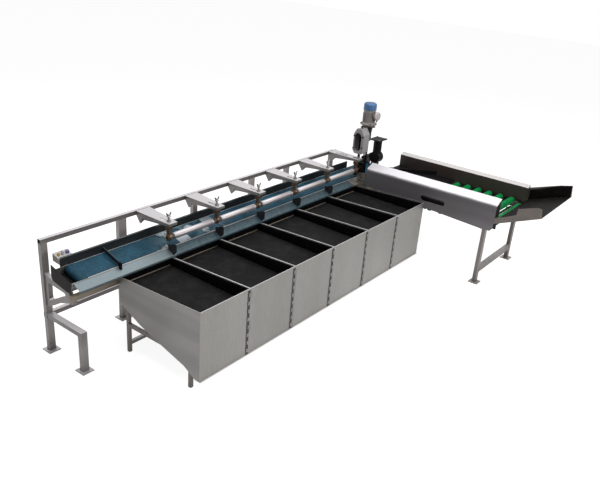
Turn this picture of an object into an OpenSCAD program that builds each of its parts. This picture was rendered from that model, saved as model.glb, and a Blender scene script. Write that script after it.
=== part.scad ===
// Fruit sizing line: belt trough, height-set sizing rollers, padded bins and roller infeed.
// Units are millimetres. X runs along the line, Y from the bins to the rear frame, Z is up.
// Layout lengths are measured from the first bin's left wall line, the bins' front and the floor.

/* [Bins] */
// Pitch of the bins along the line
bin_pitch = 600; // [560:5:640]
// Left wall of the first bin, from the line's zero
bin_left = 32; // [10:1:60]
// Height of the bins' front
bin_front_h = 750; // [710:5:770]
// Lower edge of the bins' front
bin_front_low = 114; // [90:1:150]
// Depth of the bins from front to back wall
bin_depth = 949; // [940:1:960]
// Height of the walls' back corner
bin_back_h = 712; // [700:1:714]
// Sheet thickness of the bins
bin_sheet = 3; // [2:0.5:4]
// Thickness of the foam lining
bin_foam = 9; // [6:1:14]
// Stand tube size
stand_tube = 30; // [25:1:36]
// Rear legs of the bins' stand, ahead of the bins' back
stand_back = 89; // [70:1:120]
// Rear brace of the stand, below the bins' back corner
stand_brace = 457; // [440:1:480]

/* [Rear frame] */
// Height of the top beam's upper face over the roller line
beam_over = 154; // [145:1:165]
// Front face of the rear frame, behind the belt's front edge
frame_behind = 362; // [345:1:385]
// Tube size of beams and rails
frame_tube = 40; // [36:1:44]
// Width of the posts along the line
post_w = 60; // [50:1:70]
// Foot plate size
foot_plate = 110; // [100:1:120]
// Foot plate thickness
foot_t = 8; // [6:1:12]
// Centre of the left post
post_left_x = -383; // [-400:1:-370]
// Centre of the right end post past the last bearing
post_right_out = 40; // [30:1:60]
// Lower rail's upper face, below the brackets' foot
rail_under = 78; // [40:2:110]
// Front face of the outriggers' legs, ahead of the belt
outrigger_ahead = 101; // [90:1:110]

/* [Belt trough] */
// Tilt of the belt towards the bins
belt_tilt = 17; // [14:0.5:20]
// Width of the belt
belt_w = 194; // [180:1:200]
// Thickness of the belt
belt_t = 4; // [3:0.5:5]
// Front edge of the belt, behind the bins' back
belt_behind = 36; // [32:1:42]
// Height of the belt's front edge over the bins' back corner
belt_over = 79; // [76:1:86]
// Left end of the belt
belt_left = -323; // [-335:1:-310]
// Reach of the belt into the infeed
belt_past = 572; // [550:1:590]
// Radius of the belt's end drums
drum_r = 34; // [30:1:36]
// Height of the back guard above the belt
guard_h = 70; // [60:1:90]
// Thickness of the trough's sheets
trough_sheet = 3; // [2.5:0.5:4]
// Height of the apron and fins' front edge below the belt's front edge
apron_drop = 50; // [46:1:54]

/* [Sizing rollers] */
// Radius of the sizing rollers
roller_r = 29; // [26:0.5:31]
// Roller line ahead of the belt's front edge
roller_ahead = 18; // [14:1:24]
// Height of the roller line over the belt's front edge
roller_over = 100; // [96:1:108]
// Radius of the roller journals
journal_r = 12.5; // [10:0.5:15]
// Clearance of every shaft in its hole
shaft_gap = 0.05; // [0.03:0.01:0.08]
// Length of the gap between two rollers
roller_gap = 96; // [88:1:110]
// Radius of the adjusting screws
screw_r = 10; // [8:0.5:12]
// Height of the wing screws over the beam
screw_over = 85; // [80:1:95]
// Travel of the roller line upwards
lift_up = 30; // [20:1:32]
// Travel of the roller line downwards
lift_down = 26; // [15:1:28]

/* [Arms] */
// Left edge of an arm, from its bearing
arm_left = 48; // [42:1:56]
// Width of an arm to the right of its bearing, at the beam
arm_root = 110; // [100:1:120]
// Width of an arm to the right of its bearing, at the tip
arm_tip = 50; // [44:1:56]
// Tip of the arms ahead of the roller line
tip_ahead = 57; // [48:1:64]
// Plate thickness of the arms
arm_t = 5; // [4:0.5:6]

/* [Roller drive] */
// Width of the chain guard
cover_w = 140; // [130:1:146]
// Depth of the chain guard
cover_d = 130; // [124:1:136]
// Height of the chain guard
cover_h = 302; // [280:1:320]
// Underside of the chain guard over the beam
cover_over = 53; // [45:1:65]
// Radius of the motor body
motor_r = 76; // [68:1:80]
// Length of the motor with its fan cover
motor_len = 288; // [270:1:310]
// Length of the fan cover
fan_len = 108; // [96:1:116]
// Pitch radius of the drive sprockets
sprocket_r = 40; // [36:1:44]

/* [Infeed] */
// Width of the infeed conveyor
feed_w = 1000; // [960:1:1040]
// Sheet thickness of the infeed and hopper
feed_sheet = 3; // [2:0.5:4]
// Top edge of the infeed's side panels over the carrier rollers
panel_over = 161; // [150:1:170]
// Rear end of the panels, ahead of the belt
panel_ahead = 185; // [175:1:205]
// Length of the panels
feed_len = 1650; // [1600:1:1700]
// Length of the transfer from the carrier's head to the panels' rear end
transfer_len = 820; // [780:1:840]
// Radius of the carrier rollers
carrier_r = 40; // [36:0.5:41]
// Top of the carrier rollers over the belt's front edge
carrier_over = 10; // [6:1:14]
// Number of carrier rollers
carrier_n = 13; // [10:1:13]
// Length of the hopper past the panels
hopper_len = 480; // [440:1:520]
// Slope of the hopper floor
hopper_slope = 19; // [15:0.5:21]
// Wall height of the hopper
hopper_wall = 120; // [100:1:130]

/* [View] */
// Sub-part to show

/* [Hidden] */
$fn = 24;
n_bins = 6;
// heights, each worked out from the piece below it
belt_z = bin_back_h + belt_over;
roller_z = belt_z + roller_over;
beam_top = roller_z + beam_over;
beam_low = beam_top - frame_tube;
screw_top = beam_top + screw_over;
cover_low = beam_top + cover_over;
cover_top = cover_low + cover_h;
motor_top = cover_top + motor_len;
carrier_top = belt_z + carrier_over;
feed_top = carrier_top + panel_over;
// depths, each worked out from the piece in front of it
belt_y = bin_depth + belt_behind;
roller_y = belt_y - roller_ahead;
frame_y = belt_y + frame_behind;
outrigger_y = belt_y - outrigger_ahead;
stand_rear_y = bin_depth - stand_back;
arm_tip_y = roller_y - tip_ahead;
feed_y2 = belt_y - panel_ahead;
feed_y1 = feed_y2 - feed_len;
hopper_y = feed_y1 - hopper_len;
// places along the line
bin_right = n_bins*bin_pitch;
line_x2 = bin_right;
line_len = bin_pitch - roller_gap;
post_right_x = line_x2 + post_right_out;
feed_x = line_x2;
feed_x2 = feed_x + feed_w;
belt_right = feed_x + belt_past;
foot_l = foot_plate/2;
back_drop = 8;
wide_post = 86;
wide_foot = 15;
// rear posts: left end, second, and the ones behind the arms
post_x = [post_left_x, bin_pitch - 200, 2*bin_pitch + 94, 4*bin_pitch - 248, 5*bin_pitch - 247,
  post_right_x];
post_wide = [post_w, wide_post, post_w, post_w, post_w, post_w];
gear_box = 90;
x_lo = post_left_x - foot_l;
x_hi = feed_x2 + gear_box;
y_lo = hopper_y;
y_hi = frame_y + frame_tube/2 + foot_l;
org_x = (x_lo + x_hi)/2;
org_y = (y_lo + y_hi)/2;
rail_h = frame_tube;
post_d = frame_tube;
arm_rear_y = frame_y;
arm_under = beam_top - arm_t;
hang_top = arm_under - lift_up - 8;
hang_nut = 34;
tie_y = arm_rear_y - 85;
cover_x = feed_x;
plate_x = cover_x + cover_d;
plate_t = 8;
chain_x = plate_x - 30;
sprocket_top_z = cover_top - 70;
motor_x = plate_x + 70;
motor_y = roller_y + 8;
deck_z = carrier_top;
feed_shaft_r = 15;
loop_r = carrier_r + feed_shaft_r + 1;
loop_z = carrier_top - carrier_r - loop_r;
head_y = feed_y2 - transfer_len;
tail_y = feed_y1 + 2 + loop_r + carrier_r;
inner_x1 = feed_x + 110;
inner_x2 = feed_x2 - 60;
hop_x1 = feed_x + feed_sheet;
hop_x2 = feed_x2 - feed_sheet;
eps = 0.01;
bush_r = 18;
housing_r = 32;
link_z = roller_z - sprocket_r - 7;
drum_shaft_r = 10;
bearing_r = 22;
seat_gap = 0.05;
rail_y = belt_y - 10;
rail_seat = belt_z - 166;
bracket_foot = rail_seat - 173;
rail_low = bracket_foot - rail_under - frame_tube;
rail_w = 45;
rail_t = 43;
cheek_out = 9;
cheek_low = 86;
ts = trough_sheet;
bed_v = -belt_t - 0.4;
trough_x1 = post_left_x - 17;
trough_x2 = belt_right + 18;
tail_x = belt_left + drum_r + belt_t;
drive_x = belt_right - drum_r - belt_t;
bed_x1 = tail_x + drum_r + 10;
bed_x2 = drive_x - drum_r - 10;
guard_x2 = feed_x + 145;
apron_x1 = belt_left - 60;
apron_y = bin_depth - 47;
apron_z = belt_z - apron_drop;
fin_back_y = belt_y - 10;
wall_low = carrier_top - 30;
fs = feed_sheet;
hood_r = 44;
slot_r = 30;
slot_z = carrier_top - 1;
chute_end = by(-cheek_out, bed_v) - 0.3;
// point across the belt: u along its width, v square to its face, as a world Y and Z
function by(u, v) = belt_y + u*cos(belt_tilt) - v*sin(belt_tilt);
function bz(u, v) = belt_z + u*sin(belt_tilt) + v*cos(belt_tilt);
// height over the belt's face by v at a world Y
function bz_at(y, v) = belt_z + (y - belt_y)*tan(belt_tilt) + v/cos(belt_tilt);
back_u = belt_w + cheek_out + seat_gap;
front_u = -cheek_out - seat_gap;
guard_y = by(back_u, bed_v);
guard_z = bz(belt_w, 0) + guard_h;
// top edge of a trough bracket at a world Y
function bracket_top(y) = rail_seat + 58 + (y - rail_y - rail_w)*62/(frame_y - rail_y - rail_w);
// upper face of the apron at a world Y
function apron_top(y) = apron_z + (y - apron_y)*(bz(front_u, -10) - apron_z)/(by(front_u, -10) - apron_y);

// box from low corner to high corner
module box(a, b) {
  translate(a)
    cube(b - a);
}

// tube along X, Y or Z with square section, given as a box with a wall
module tube_x(a, b, t) {
  difference() {
    box(a, b);
    box([a[0] - 1, a[1] + t, a[2] + t], [b[0] + 1, b[1] - t, b[2] - t]);
  }
}

// profile in the Y-Z plane, extruded from x1 to x2
module yz(x1, x2, pts) {
  translate([x1, 0, 0])
    rotate([90, 0, 90])
      linear_extrude(height = x2 - x1)
        polygon(pts);
}

// profile in the X-Z plane, extruded from y1 to y2
module xz(y1, y2, pts) {
  translate([0, y2, 0])
    rotate([90, 0, 0])
      linear_extrude(height = y2 - y1)
        polygon(pts);
}

// cylinder along X
module cyl_x(x1, x2, y, z, r, f) {
  translate([x1, y, z])
    rotate([0, 90, 0])
      cylinder(h = x2 - x1, r = r, $fn = f);
}

// cylinder along Y
module cyl_y(x, y1, y2, z, r, f) {
  translate([x, y1, z])
    rotate([-90, 0, 0])
      cylinder(h = y2 - y1, r = r, $fn = f);
}

// moves into the belt's tilted frame: u runs across the belt, v is square to it, zero at the front edge
module on_belt() {
  translate([0, belt_y, belt_z])
    rotate([belt_tilt, 0, 0])
      children();
}

// the whole object is placed with the centre of its outline over zero
module place() {
  translate([-org_x, -org_y, 0])
    children();
}

// underside of the bins' floor from front to back, raised by t
function bin_run(t) = [[0, bin_front_low + t], [46, bin_front_low + 1 + t], [172, bin_front_low + 75 + t],
  [bin_depth - 372, bin_back_h - 408 + t], [bin_depth - 249, bin_back_h - 365 + t],
  [bin_depth - 60, bin_back_h - 278 + t], [bin_depth - bin_sheet, bin_back_h - 248 + t]];
function reversed(list) = [for (i = [len(list) - 1:-1:0]) list[i]];
function div_x(i) = i == 0 ? bin_left : i*bin_pitch;

// BIN PARTS
module bin_fronts() {
  color([0.62, 0.6, 0.57])
    for (i = [0:n_bins - 1]) {
      x1 = div_x(i) + (i == 0 ? 0 : 0.5);
      x2 = div_x(i + 1) - (i == n_bins - 1 ? 0 : 0.5);
      difference() {
        union() {
          box([x1, -bin_sheet, bin_front_low], [x2, 0, bin_front_h]);
          // folded lower hem and folded top hem
          box([x1, -bin_sheet - 10, bin_front_low], [x2, -bin_sheet + eps, bin_front_low + 3]);
          box([x1, -bin_sheet - 3, bin_front_h - 12], [x2, -bin_sheet + eps, bin_front_h]);
        }
        // pierced seam beside each wall
        for (z = [bin_front_low + 45:80:bin_front_h - 31])
          translate([x2 - 14, 1, z])
            rotate([90, 0, 0])
              cylinder(h = bin_sheet + 3, r = 4, $fn = 8);
      }
    }
}

module bin_dividers() {
  color([0.6, 0.6, 0.6])
    for (i = [0:n_bins]) {
      x = i == n_bins ? div_x(i) - bin_sheet : div_x(i);
      yz(x, x + bin_sheet, concat([[0, bin_front_h]], bin_run(bin_sheet), [[bin_depth - bin_sheet,
        bin_back_h]]));
    }
}

module bin_floor() {
  color([0.5, 0.5, 0.5])
    yz(bin_left, bin_right, concat(bin_run(0), reversed(bin_run(bin_sheet))));
}

module bin_back() {
  color([0.72, 0.66, 0.56])
    union() {
      box([bin_left, bin_depth - bin_sheet, bin_back_h - 248],
        [bin_right, bin_depth, bin_back_h - back_drop]);
      box([bin_left, bin_depth - eps, bin_back_h - back_drop - 16],
        [bin_right, bin_depth + 12, bin_back_h - back_drop]);
    }
}

// one lining: floor, front, back and two side sheets of foam
module lining(x1, x2) {
  f = bin_foam;
  yb = bin_depth - bin_sheet;
  top = bin_front_h - 14;
  in_run = bin_run(bin_sheet + f + 2);
  difference() {
    yz(x1, x2, concat([[0, top]], bin_run(bin_sheet), [[yb, bin_back_h - 12]]));
    yz(x1 + f, x2 - f, concat([[f, top + 40], [f, bin_front_low + 30]], [for (i = [1:5]) in_run[i]],
      [[yb - f, in_run[6][1] - 2], [yb - f, bin_back_h + 40]]));
  }
}

module bin_linings() {
  color([0.08, 0.08, 0.08])
    for (i = [0:n_bins - 1])
      lining(div_x(i) + bin_sheet, div_x(i + 1) - (i == n_bins - 1 ? bin_sheet : 0));
}

// underside of the bins' floor at a distance y from the front
function floor_z(y) = lookup(y, bin_run(0));
// profile of a leg or brace's upper end, cut to the floor between two depths
function under_floor(y1, y2) = concat([[y2, floor_z(y2)]],
  [for (q = reversed(bin_run(0))) if (q[0] > y1 && q[0] < y2) q], [[y1, floor_z(y1)]]);

// one welded trestle under the bins
module trestle(x) {
  s = stand_tube;
  r = stand_rear_y;
  brace = bin_back_h - stand_brace;
  union() {
    for (y = [105, r])
      yz(x, x + s, concat([[y, 0], [y + s, 0]], under_floor(y, y + s)));
    yz(x, x + s, [[r - 456, floor_z(r - 456)], [r + eps, brace], [r + eps, brace + s],
      [r - 350, floor_z(r - 350)]]);
  }
}

module bin_stand() {
  color([0.5, 0.49, 0.47])
    union() {
      trestle(bin_left + 12);
      trestle(n_bins/2*bin_pitch - 15);
      trestle(bin_right - 62);
    }
}

// low tube between the trestles' rear legs, in two lengths
module stand_rail() {
  xs = [bin_left + 12, n_bins/2*bin_pitch - 15, bin_right - 62];
  color([0.5, 0.49, 0.47])
    for (i = [0:1])
      tube_x([xs[i] + stand_tube, stand_rear_y, 70], [xs[i + 1],
        stand_rear_y + stand_tube, 70 + stand_tube], 2);
}

// REAR FRAME
module posts() {
  color([0.56, 0.54, 0.51])
    for (i = [0:len(post_x) - 1]) {
      w = post_wide[i];
      union() {
        box([post_x[i] - w/2, frame_y, foot_t - eps], [post_x[i] + w/2, frame_y + post_d, beam_low]);
        box([post_x[i] - foot_l - (w == wide_post ? wide_foot : 0), frame_y + post_d/2 - foot_l, 0],
          [post_x[i] + foot_l + (w == wide_post ? wide_foot : 0), frame_y + post_d/2 + foot_l, foot_t]);
      }
    }
}

module top_beam() {
  color([0.62, 0.6, 0.57])
    tube_x([post_left_x - post_w/2, frame_y, beam_low], [post_right_x + post_w/2, frame_y + frame_tube,
      beam_top], 3);
}

module lower_rail() {
  color([0.45, 0.43, 0.41])
    for (i = [0:len(post_x) - 2])
      tube_x([post_x[i] + post_wide[i]/2, frame_y, rail_low],
        [post_x[i + 1] - post_wide[i + 1]/2, frame_y + frame_tube, rail_low + rail_h], 3);
}

module outrigger(x) {
  w = post_w - 3;
  union() {
    box([x - w/2, outrigger_y, rail_low], [x + w/2, frame_y, rail_low + rail_h]);
    box([x - w/2, outrigger_y, foot_t - eps], [x + w/2, outrigger_y + 46, rail_low + eps]);
    box([x - foot_l, outrigger_y + 23 - foot_l, 0], [x + foot_l, outrigger_y + 23 + foot_l, foot_t]);
  }
}

module outriggers() {
  color([0.55, 0.53, 0.5]) {
    outrigger(post_left_x);
    outrigger(post_right_x);
  }
}

// bracket carrying the trough: sloping top bar, curved lower strut and an open rounded window
module trough_bracket(x, w) {
  translate([0, frame_y, rail_seat])
    difference() {
      yz(x - w/2, x + w/2, [[0, 120], [0, bracket_foot - rail_seat], [-47, -163], [-107, -133],
        [-197, -77], [-307, -35], [rail_y - frame_y, -25], [rail_y - frame_y, 0],
        [rail_y + rail_w - frame_y, 0], [rail_y + rail_w - frame_y, 58]]);
      yz(x - w/2 - 1, x + w/2 + 1, [[-277, 25], [-265, 9], [-187, -29], [-112, -77], [-57, -105],
        [-43, -97], [-41, -65], [-43, 39], [-51, 51], [-63, 55], [-265, 39]]);
    }
}

module trough_brackets() {
  color([0.55, 0.53, 0.5])
    for (i = [0:len(post_x) - 1])
      trough_bracket(post_x[i], 40);
}

module front_rail() {
  color([0.74, 0.69, 0.6])
    box([post_left_x - 27, rail_y, rail_seat], [belt_right - 60, rail_y + rail_w, rail_seat + rail_t]);
}

// BELT TROUGH
// trough: bed plate between the two belt runs, side cheeks with lower flanges, and feet on the brackets
module slider_bed() {
  color([0.6, 0.6, 0.62])
    union() {
      on_belt()
        difference() {
          union() {
            box([bed_x1, -cheek_out, bed_v - ts], [bed_x2, belt_w + cheek_out, bed_v]);
            for (u = [-cheek_out, belt_w + cheek_out - ts])
              box([trough_x1, u, -cheek_low], [trough_x2, u + ts, bed_v]);
            for (u = [-cheek_out, belt_w + cheek_out - 24])
              box([trough_x1, u, -cheek_low], [trough_x2, u + 24, -cheek_low + ts]);
          }
          for (x = [tail_x, drive_x])
            translate([x, -cheek_out - 1, -drum_r - belt_t])
              rotate([-90, 0, 0])
                cylinder(h = belt_w + 2*cheek_out + 2, r = drum_shaft_r + shaft_gap, $fn = 32);
        }
      for (i = [0:len(post_x) - 1])
        yz(post_x[i] - ts, post_x[i] + ts, [[by(-cheek_out, -cheek_low), rail_seat + rail_t],
          [rail_y + rail_w, rail_seat + rail_t], [rail_y + rail_w, bracket_top(rail_y + rail_w)],
          [by(belt_w + cheek_out, -cheek_low), bracket_top(by(belt_w + cheek_out, -cheek_low))],
          [by(belt_w + cheek_out, -cheek_low), bz(belt_w + cheek_out, -cheek_low) + eps],
          [by(-cheek_out, -cheek_low), bz(-cheek_out, -cheek_low) + eps]]);
    }
}

// round-ended outline in the plane square to the belt's axis, standing on u = 0
module belt_outline(r) {
  union() {
    translate([tail_x, 0])
      circle(r = r, $fn = 48);
    translate([drive_x, 0])
      circle(r = r, $fn = 48);
    translate([tail_x, -r])
      square([drive_x - tail_x, 2*r]);
  }
}

module belt() {
  color([0.15, 0.42, 0.55])
    on_belt()
      translate([0, 0, -drum_r - belt_t])
        rotate([-90, 0, 0])
          linear_extrude(height = belt_w)
            difference() {
              belt_outline(drum_r + belt_t);
              belt_outline(drum_r);
            }
}

module drum(x) {
  on_belt()
    translate([x, 0, -drum_r - belt_t])
      rotate([-90, 0, 0])
        union() {
          translate([0, 0, 2])
            cylinder(h = belt_w - 4, r = drum_r - 0.3, $fn = 48);
          translate([0, 0, -cheek_out - 7])
            cylinder(h = belt_w + 2*cheek_out + 14, r = drum_shaft_r, $fn = 32);
        }
}

module tail_drum() {
  color([0.2, 0.2, 0.2])
    drum(tail_x);
}

module drive_drum() {
  color([0.25, 0.25, 0.25])
    drum(drive_x);
}

// flange bearing on a cheek, with its shaft hole
module flange_bearing(x, u1, u2) {
  on_belt()
    difference() {
      union() {
        translate([x, u1, -drum_r - belt_t])
          rotate([-90, 0, 0])
            cylinder(h = u2 - u1, r = bearing_r, $fn = 32);
        translate([x - 38, u1, -drum_r - belt_t - 15])
          cube([76, (u2 - u1)/2, 30]);
      }
      translate([x, u1 - 1, -drum_r - belt_t])
        rotate([-90, 0, 0])
          cylinder(h = u2 - u1 + 2, r = drum_shaft_r + shaft_gap, $fn = 32);
    }
}

// dark closing plate at the tail with its curved lower edge, the right end plate, and the flange bearings
module drum_plates() {
  color([0.16, 0.16, 0.17]) {
    yz(trough_x1 - ts, trough_x1, [[by(-cheek_out, -6), bz(-cheek_out, -6)], [belt_y - 1, belt_z - 39],
      [belt_y + 7, belt_z - 65], [belt_y + 19, belt_z - 87], [rail_y + rail_w, belt_z - 101],
      [belt_y + 61, bracket_top(belt_y + 61)], [belt_y + 247, bracket_top(belt_y + 247)],
      [belt_y + 260, belt_z - 49], [belt_y + 263, belt_z - 11], [belt_y + 261, belt_z + 71],
      [by(belt_w + cheek_out + ts, -6), bz(belt_w + cheek_out + ts, -6)]]);
    yz(trough_x2, trough_x2 + ts, [[by(-cheek_out, -6), bz(-cheek_out, -6)],
      [by(-cheek_out, -cheek_low), bz(-cheek_out, -cheek_low)],
      [by(belt_w + cheek_out, -cheek_low), bz(belt_w + cheek_out, -cheek_low)],
      [by(belt_w + cheek_out, -6), bz(belt_w + cheek_out, -6)]]);
    flange_bearing(tail_x, -cheek_out - 7, -cheek_out);
    flange_bearing(tail_x, belt_w + cheek_out, belt_w + cheek_out + 7);
    flange_bearing(drive_x, -cheek_out - 7, -cheek_out);
  }
}

module back_guard() {
  color([0.2, 0.2, 0.21])
    difference() {
      yz(trough_x1 + 40, guard_x2, [[by(back_u, -40), bz(back_u, -40)],
        [by(back_u + ts, -40), bz(back_u + ts, -40)], [guard_y + ts, bz(back_u + ts, -belt_t)],
        [guard_y + ts, guard_z], [guard_y + 12, guard_z + 5], [guard_y + 11, guard_z + 8],
        [guard_y, guard_z + 2], [guard_y, bz(back_u, bed_v)]]);
      strap_notch(belt_w + cheek_out - 1);
    }
}

// clears the tail's flange bearing out of a strap on the cheek
module strap_notch(u) {
  on_belt()
    box([tail_x - 42, u, -60], [tail_x + 42, u + 5, -12]);
}

// sloping apron from the trough into the bins, with its strap on the front cheek and a folded lip
module apron() {
  color([0.66, 0.7, 0.74])
    difference() {
      yz(apron_x1, bin_right - 5, [[by(front_u, -10), bz(front_u, -10)], [apron_y, apron_z],
        [apron_y - ts, apron_z - 2], [apron_y - ts, apron_z - 18], [apron_y, apron_z - 18],
        [apron_y, apron_z - ts - 1], [by(front_u - ts, -11 - ts), bz(front_u - ts, -11 - ts)],
        [by(front_u - ts, -36), bz(front_u - ts, -36)], [by(front_u, -36), bz(front_u, -36)]]);
      strap_notch(-cheek_out - 4);
    }
}

module divider_fins() {
  color([0.1, 0.1, 0.11])
    for (i = [1:n_bins - 1])
      yz(div_x(i) - 1.5, div_x(i) + 4.5, [[apron_y, apron_z], [fin_back_y, apron_top(fin_back_y)],
        [fin_back_y, apron_z + 81], [fin_back_y - 41, apron_z + 85], [apron_y + 20, apron_z + 101],
        [apron_y - 30, apron_z + 109], [apron_y - 32, apron_z + 105], [apron_y - 32, apron_z + 34],
        [apron_y - 12, apron_z + 11]]);
}

module stop_plate() {
  color([0.75, 0.75, 0.75])
    union() {
      yz(56, 61, [[by(-2, 6), bz(-2, 6)], [guard_y, bz_at(guard_y, 6)], [guard_y, bz_at(guard_y, 42)],
        [by(-2, 42), bz(-2, 42)]]);
      box([61 - eps, guard_y - 3, bz_at(guard_y, 10)], [92, guard_y, bz_at(guard_y, 40)]);
    }
}

module stop_rubber() {
  color([0.06, 0.06, 0.06])
    yz(50, 67, [[by(-2, 6), bz(-2, 6)], [by(-2, 42), bz(-2, 42)], [belt_y - 39, belt_z + 33],
      [belt_y - 39, apron_top(belt_y - 39) + 0.3], [belt_y - 19, apron_top(belt_y - 19) + 1],
      [belt_y - 11, belt_z - 2]]);
}

// small box behind the guard at the tail: sloping lid, a brass fitting, a white cap and a blue knob
module take_up() {
  color([0.66, 0.64, 0.6])
    union() {
      yz(trough_x1 + 42, trough_x1 + 178, [[guard_y + ts, belt_z + 71], [guard_y + 98, belt_z + 79],
        [guard_y + 98, belt_z + 145], [guard_y + ts, guard_z - 8]]);
      for (k = [0:2])
        translate([trough_x1 + 68 + 42*k, guard_y + 55, belt_z + 127])
          cylinder(h = 26 + (k == 1 ? 12 : 0), r = 10, $fn = 20);
    }
}

// ARMS
// side profile of an arm below its top plate
function arm_profile() = [[arm_rear_y, arm_under + eps], [arm_rear_y, beam_low + 3],
  [arm_rear_y - 9, beam_low - 5], [arm_rear_y - 52, beam_low - 65], [arm_rear_y - 61, beam_low - 65],
  [tie_y, beam_low - 43], [tie_y - 22, beam_low - 19], [tie_y - 62, beam_low - 11],
  [arm_tip_y + 126, beam_low + 5], [arm_tip_y + 2, beam_low + 15], [arm_tip_y, arm_under + eps]];

function arm_right(y) = arm_tip + (arm_root - arm_tip)*(y - arm_tip_y)/(arm_rear_y - arm_tip_y);

// arm folded from plate: tapering top, two hooked side flanges, rear and tip flanges and a tie bolt
module arm_body(x) {
  union() {
    translate([x, 0, arm_under])
      linear_extrude(height = arm_t)
        polygon([[-arm_left, arm_tip_y], [arm_tip, arm_tip_y], [arm_root, arm_rear_y],
          [-arm_left, arm_rear_y]]);
    yz(x - arm_left, x - arm_left + arm_t, arm_profile());
    intersection() {
      yz(x, x + arm_root + 1, arm_profile());
      translate([x, 0, beam_low - 80])
        linear_extrude(height = 80 + frame_tube)
          polygon([[arm_tip - arm_t, arm_tip_y], [arm_tip, arm_tip_y], [arm_root, arm_rear_y],
            [arm_root - arm_t, arm_rear_y]]);
    }
    box([x - arm_left + arm_t - eps, arm_rear_y - 5, beam_low + 2],
      [x + arm_root - arm_t, arm_rear_y, arm_under + eps]);
    box([x - arm_left + arm_t - eps, arm_tip_y, beam_low + 17],
      [x + arm_tip - arm_t + eps, arm_tip_y + 4, arm_under + eps]);
    cyl_x(x - arm_left - 8, x + arm_right(tie_y) + 5, tie_y, beam_low - 18, 9, 20);
  }
}

module arms() {
  color([0.66, 0.64, 0.61])
    for (i = [1:n_bins - 1]) {
      x = i*bin_pitch;
      difference() {
        union() {
          arm_body(x);
          translate([x, roller_y, beam_top - eps])
            cylinder(h = 16, r = 20, $fn = 6);
        }
        translate([x, roller_y, arm_under - 1])
          cylinder(h = 40, r = screw_r + shaft_gap, $fn = 32);
        top_slot(x, roller_y + 43, roller_y + 103, 14);
      }
    }
}

// obround slot along Y through a top plate
module top_slot(x, y1, y2, w) {
  translate([x - w/2, y1, arm_under - 1])
    cube([w, y2 - y1, arm_t + 2]);
  for (y = [y1, y2])
    translate([x, y, arm_under - 1])
      cylinder(h = arm_t + 2, r = w/2, $fn = 20);
}

module drive_arm() {
  x = line_x2;
  color([0.66, 0.64, 0.61])
    difference() {
      arm_body(x);
      top_slot(x - 14, roller_y + 123, roller_y + 283, 14);
      top_slot(x + 34, roller_y + 143, roller_y + 243, 12);
      top_slot(x, roller_y - 22, roller_y + 33, 30);
    }
}

// SIZING LINE
// hanger: nut block under the arm, flat stem and the bearing housing with its bore
module hangers() {
  color([0.52, 0.5, 0.46])
    for (i = [1:n_bins]) {
      x = i*bin_pitch;
      difference() {
        union() {
          box([x - 24, roller_y - 22, hang_top - hang_nut], [x + 24, roller_y + 22, hang_top]);
          box([x - 10, roller_y - 20, roller_z + 20], [x + 10, roller_y + 20, hang_top - hang_nut + eps]);
          cyl_x(x - 10, x + 10, roller_y, roller_z, housing_r, 48);
        }
        cyl_x(x - 11, x + 11, roller_y, roller_z, bush_r, 48);
        if (i < n_bins)
          translate([x, roller_y, hang_top - 30])
            cylinder(h = 40, r = screw_r + shaft_gap, $fn = 32);
      }
    }
}

module bearing_units() {
  color([0.72, 0.5, 0.24])
    for (i = [1:n_bins]) {
      x = i*bin_pitch;
      difference() {
        union() {
          cyl_x(x - 14, x + 14, roller_y, roller_z, bush_r, 48);
          cyl_x(x - 14, x - 10, roller_y, roller_z, bush_r + 6, 48);
          cyl_x(x + 10, x + 14, roller_y, roller_z, bush_r + 6, 48);
        }
        cyl_x(x - 15, x + 15, roller_y, roller_z, journal_r + shaft_gap, 48);
      }
    }
}

// adjusting screw with a two-winged head
module wing_screw(i) {
  x = i*bin_pitch;
  z1 = hang_top - 30;
  color([0.6, 0.6, 0.6])
    union() {
      translate([x, roller_y, z1])
        cylinder(h = screw_top - 30 - z1, r = screw_r, $fn = 32);
      translate([x, roller_y, beam_top + 16 + lift_down + 1])
        cylinder(h = 16, r = 13, $fn = 24);
      xz_at(x, roller_y - 4, roller_y + 4, [[-8, screw_top - 30], [8, screw_top - 30], [30, screw_top],
        [17, screw_top], [0, screw_top - 20], [-17, screw_top], [-30, screw_top]]);
    }
}

module xz_at(x, y1, y2, pts) {
  translate([x, 0, 0])
    xz(y1, y2, pts);
}

module wing_screw_1() {
  wing_screw(1);
}

module wing_screw_2() {
  wing_screw(2);
}

module wing_screw_3() {
  wing_screw(3);
}

module wing_screw_4() {
  wing_screw(4);
}

module wing_screw_5() {
  wing_screw(5);
}

// sizing roller: tube with chamfered end caps
module roller(k) {
  x1 = k*bin_pitch + roller_gap/2;
  color([0.75, 0.75, 0.76])
    translate([x1, roller_y, roller_z])
      rotate([0, 90, 0])
        rotate_extrude($fn = 48)
          polygon([[0, 0], [roller_r - 10, 0], [roller_r, 7], [roller_r, line_len - 7],
            [roller_r - 10, line_len], [0, line_len]]);
}

module roller_1() {
  roller(1);
}

module roller_2() {
  roller(2);
}

module roller_3() {
  roller(3);
}

module roller_4() {
  roller(4);
}

module roller_5() {
  roller(5);
}

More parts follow.
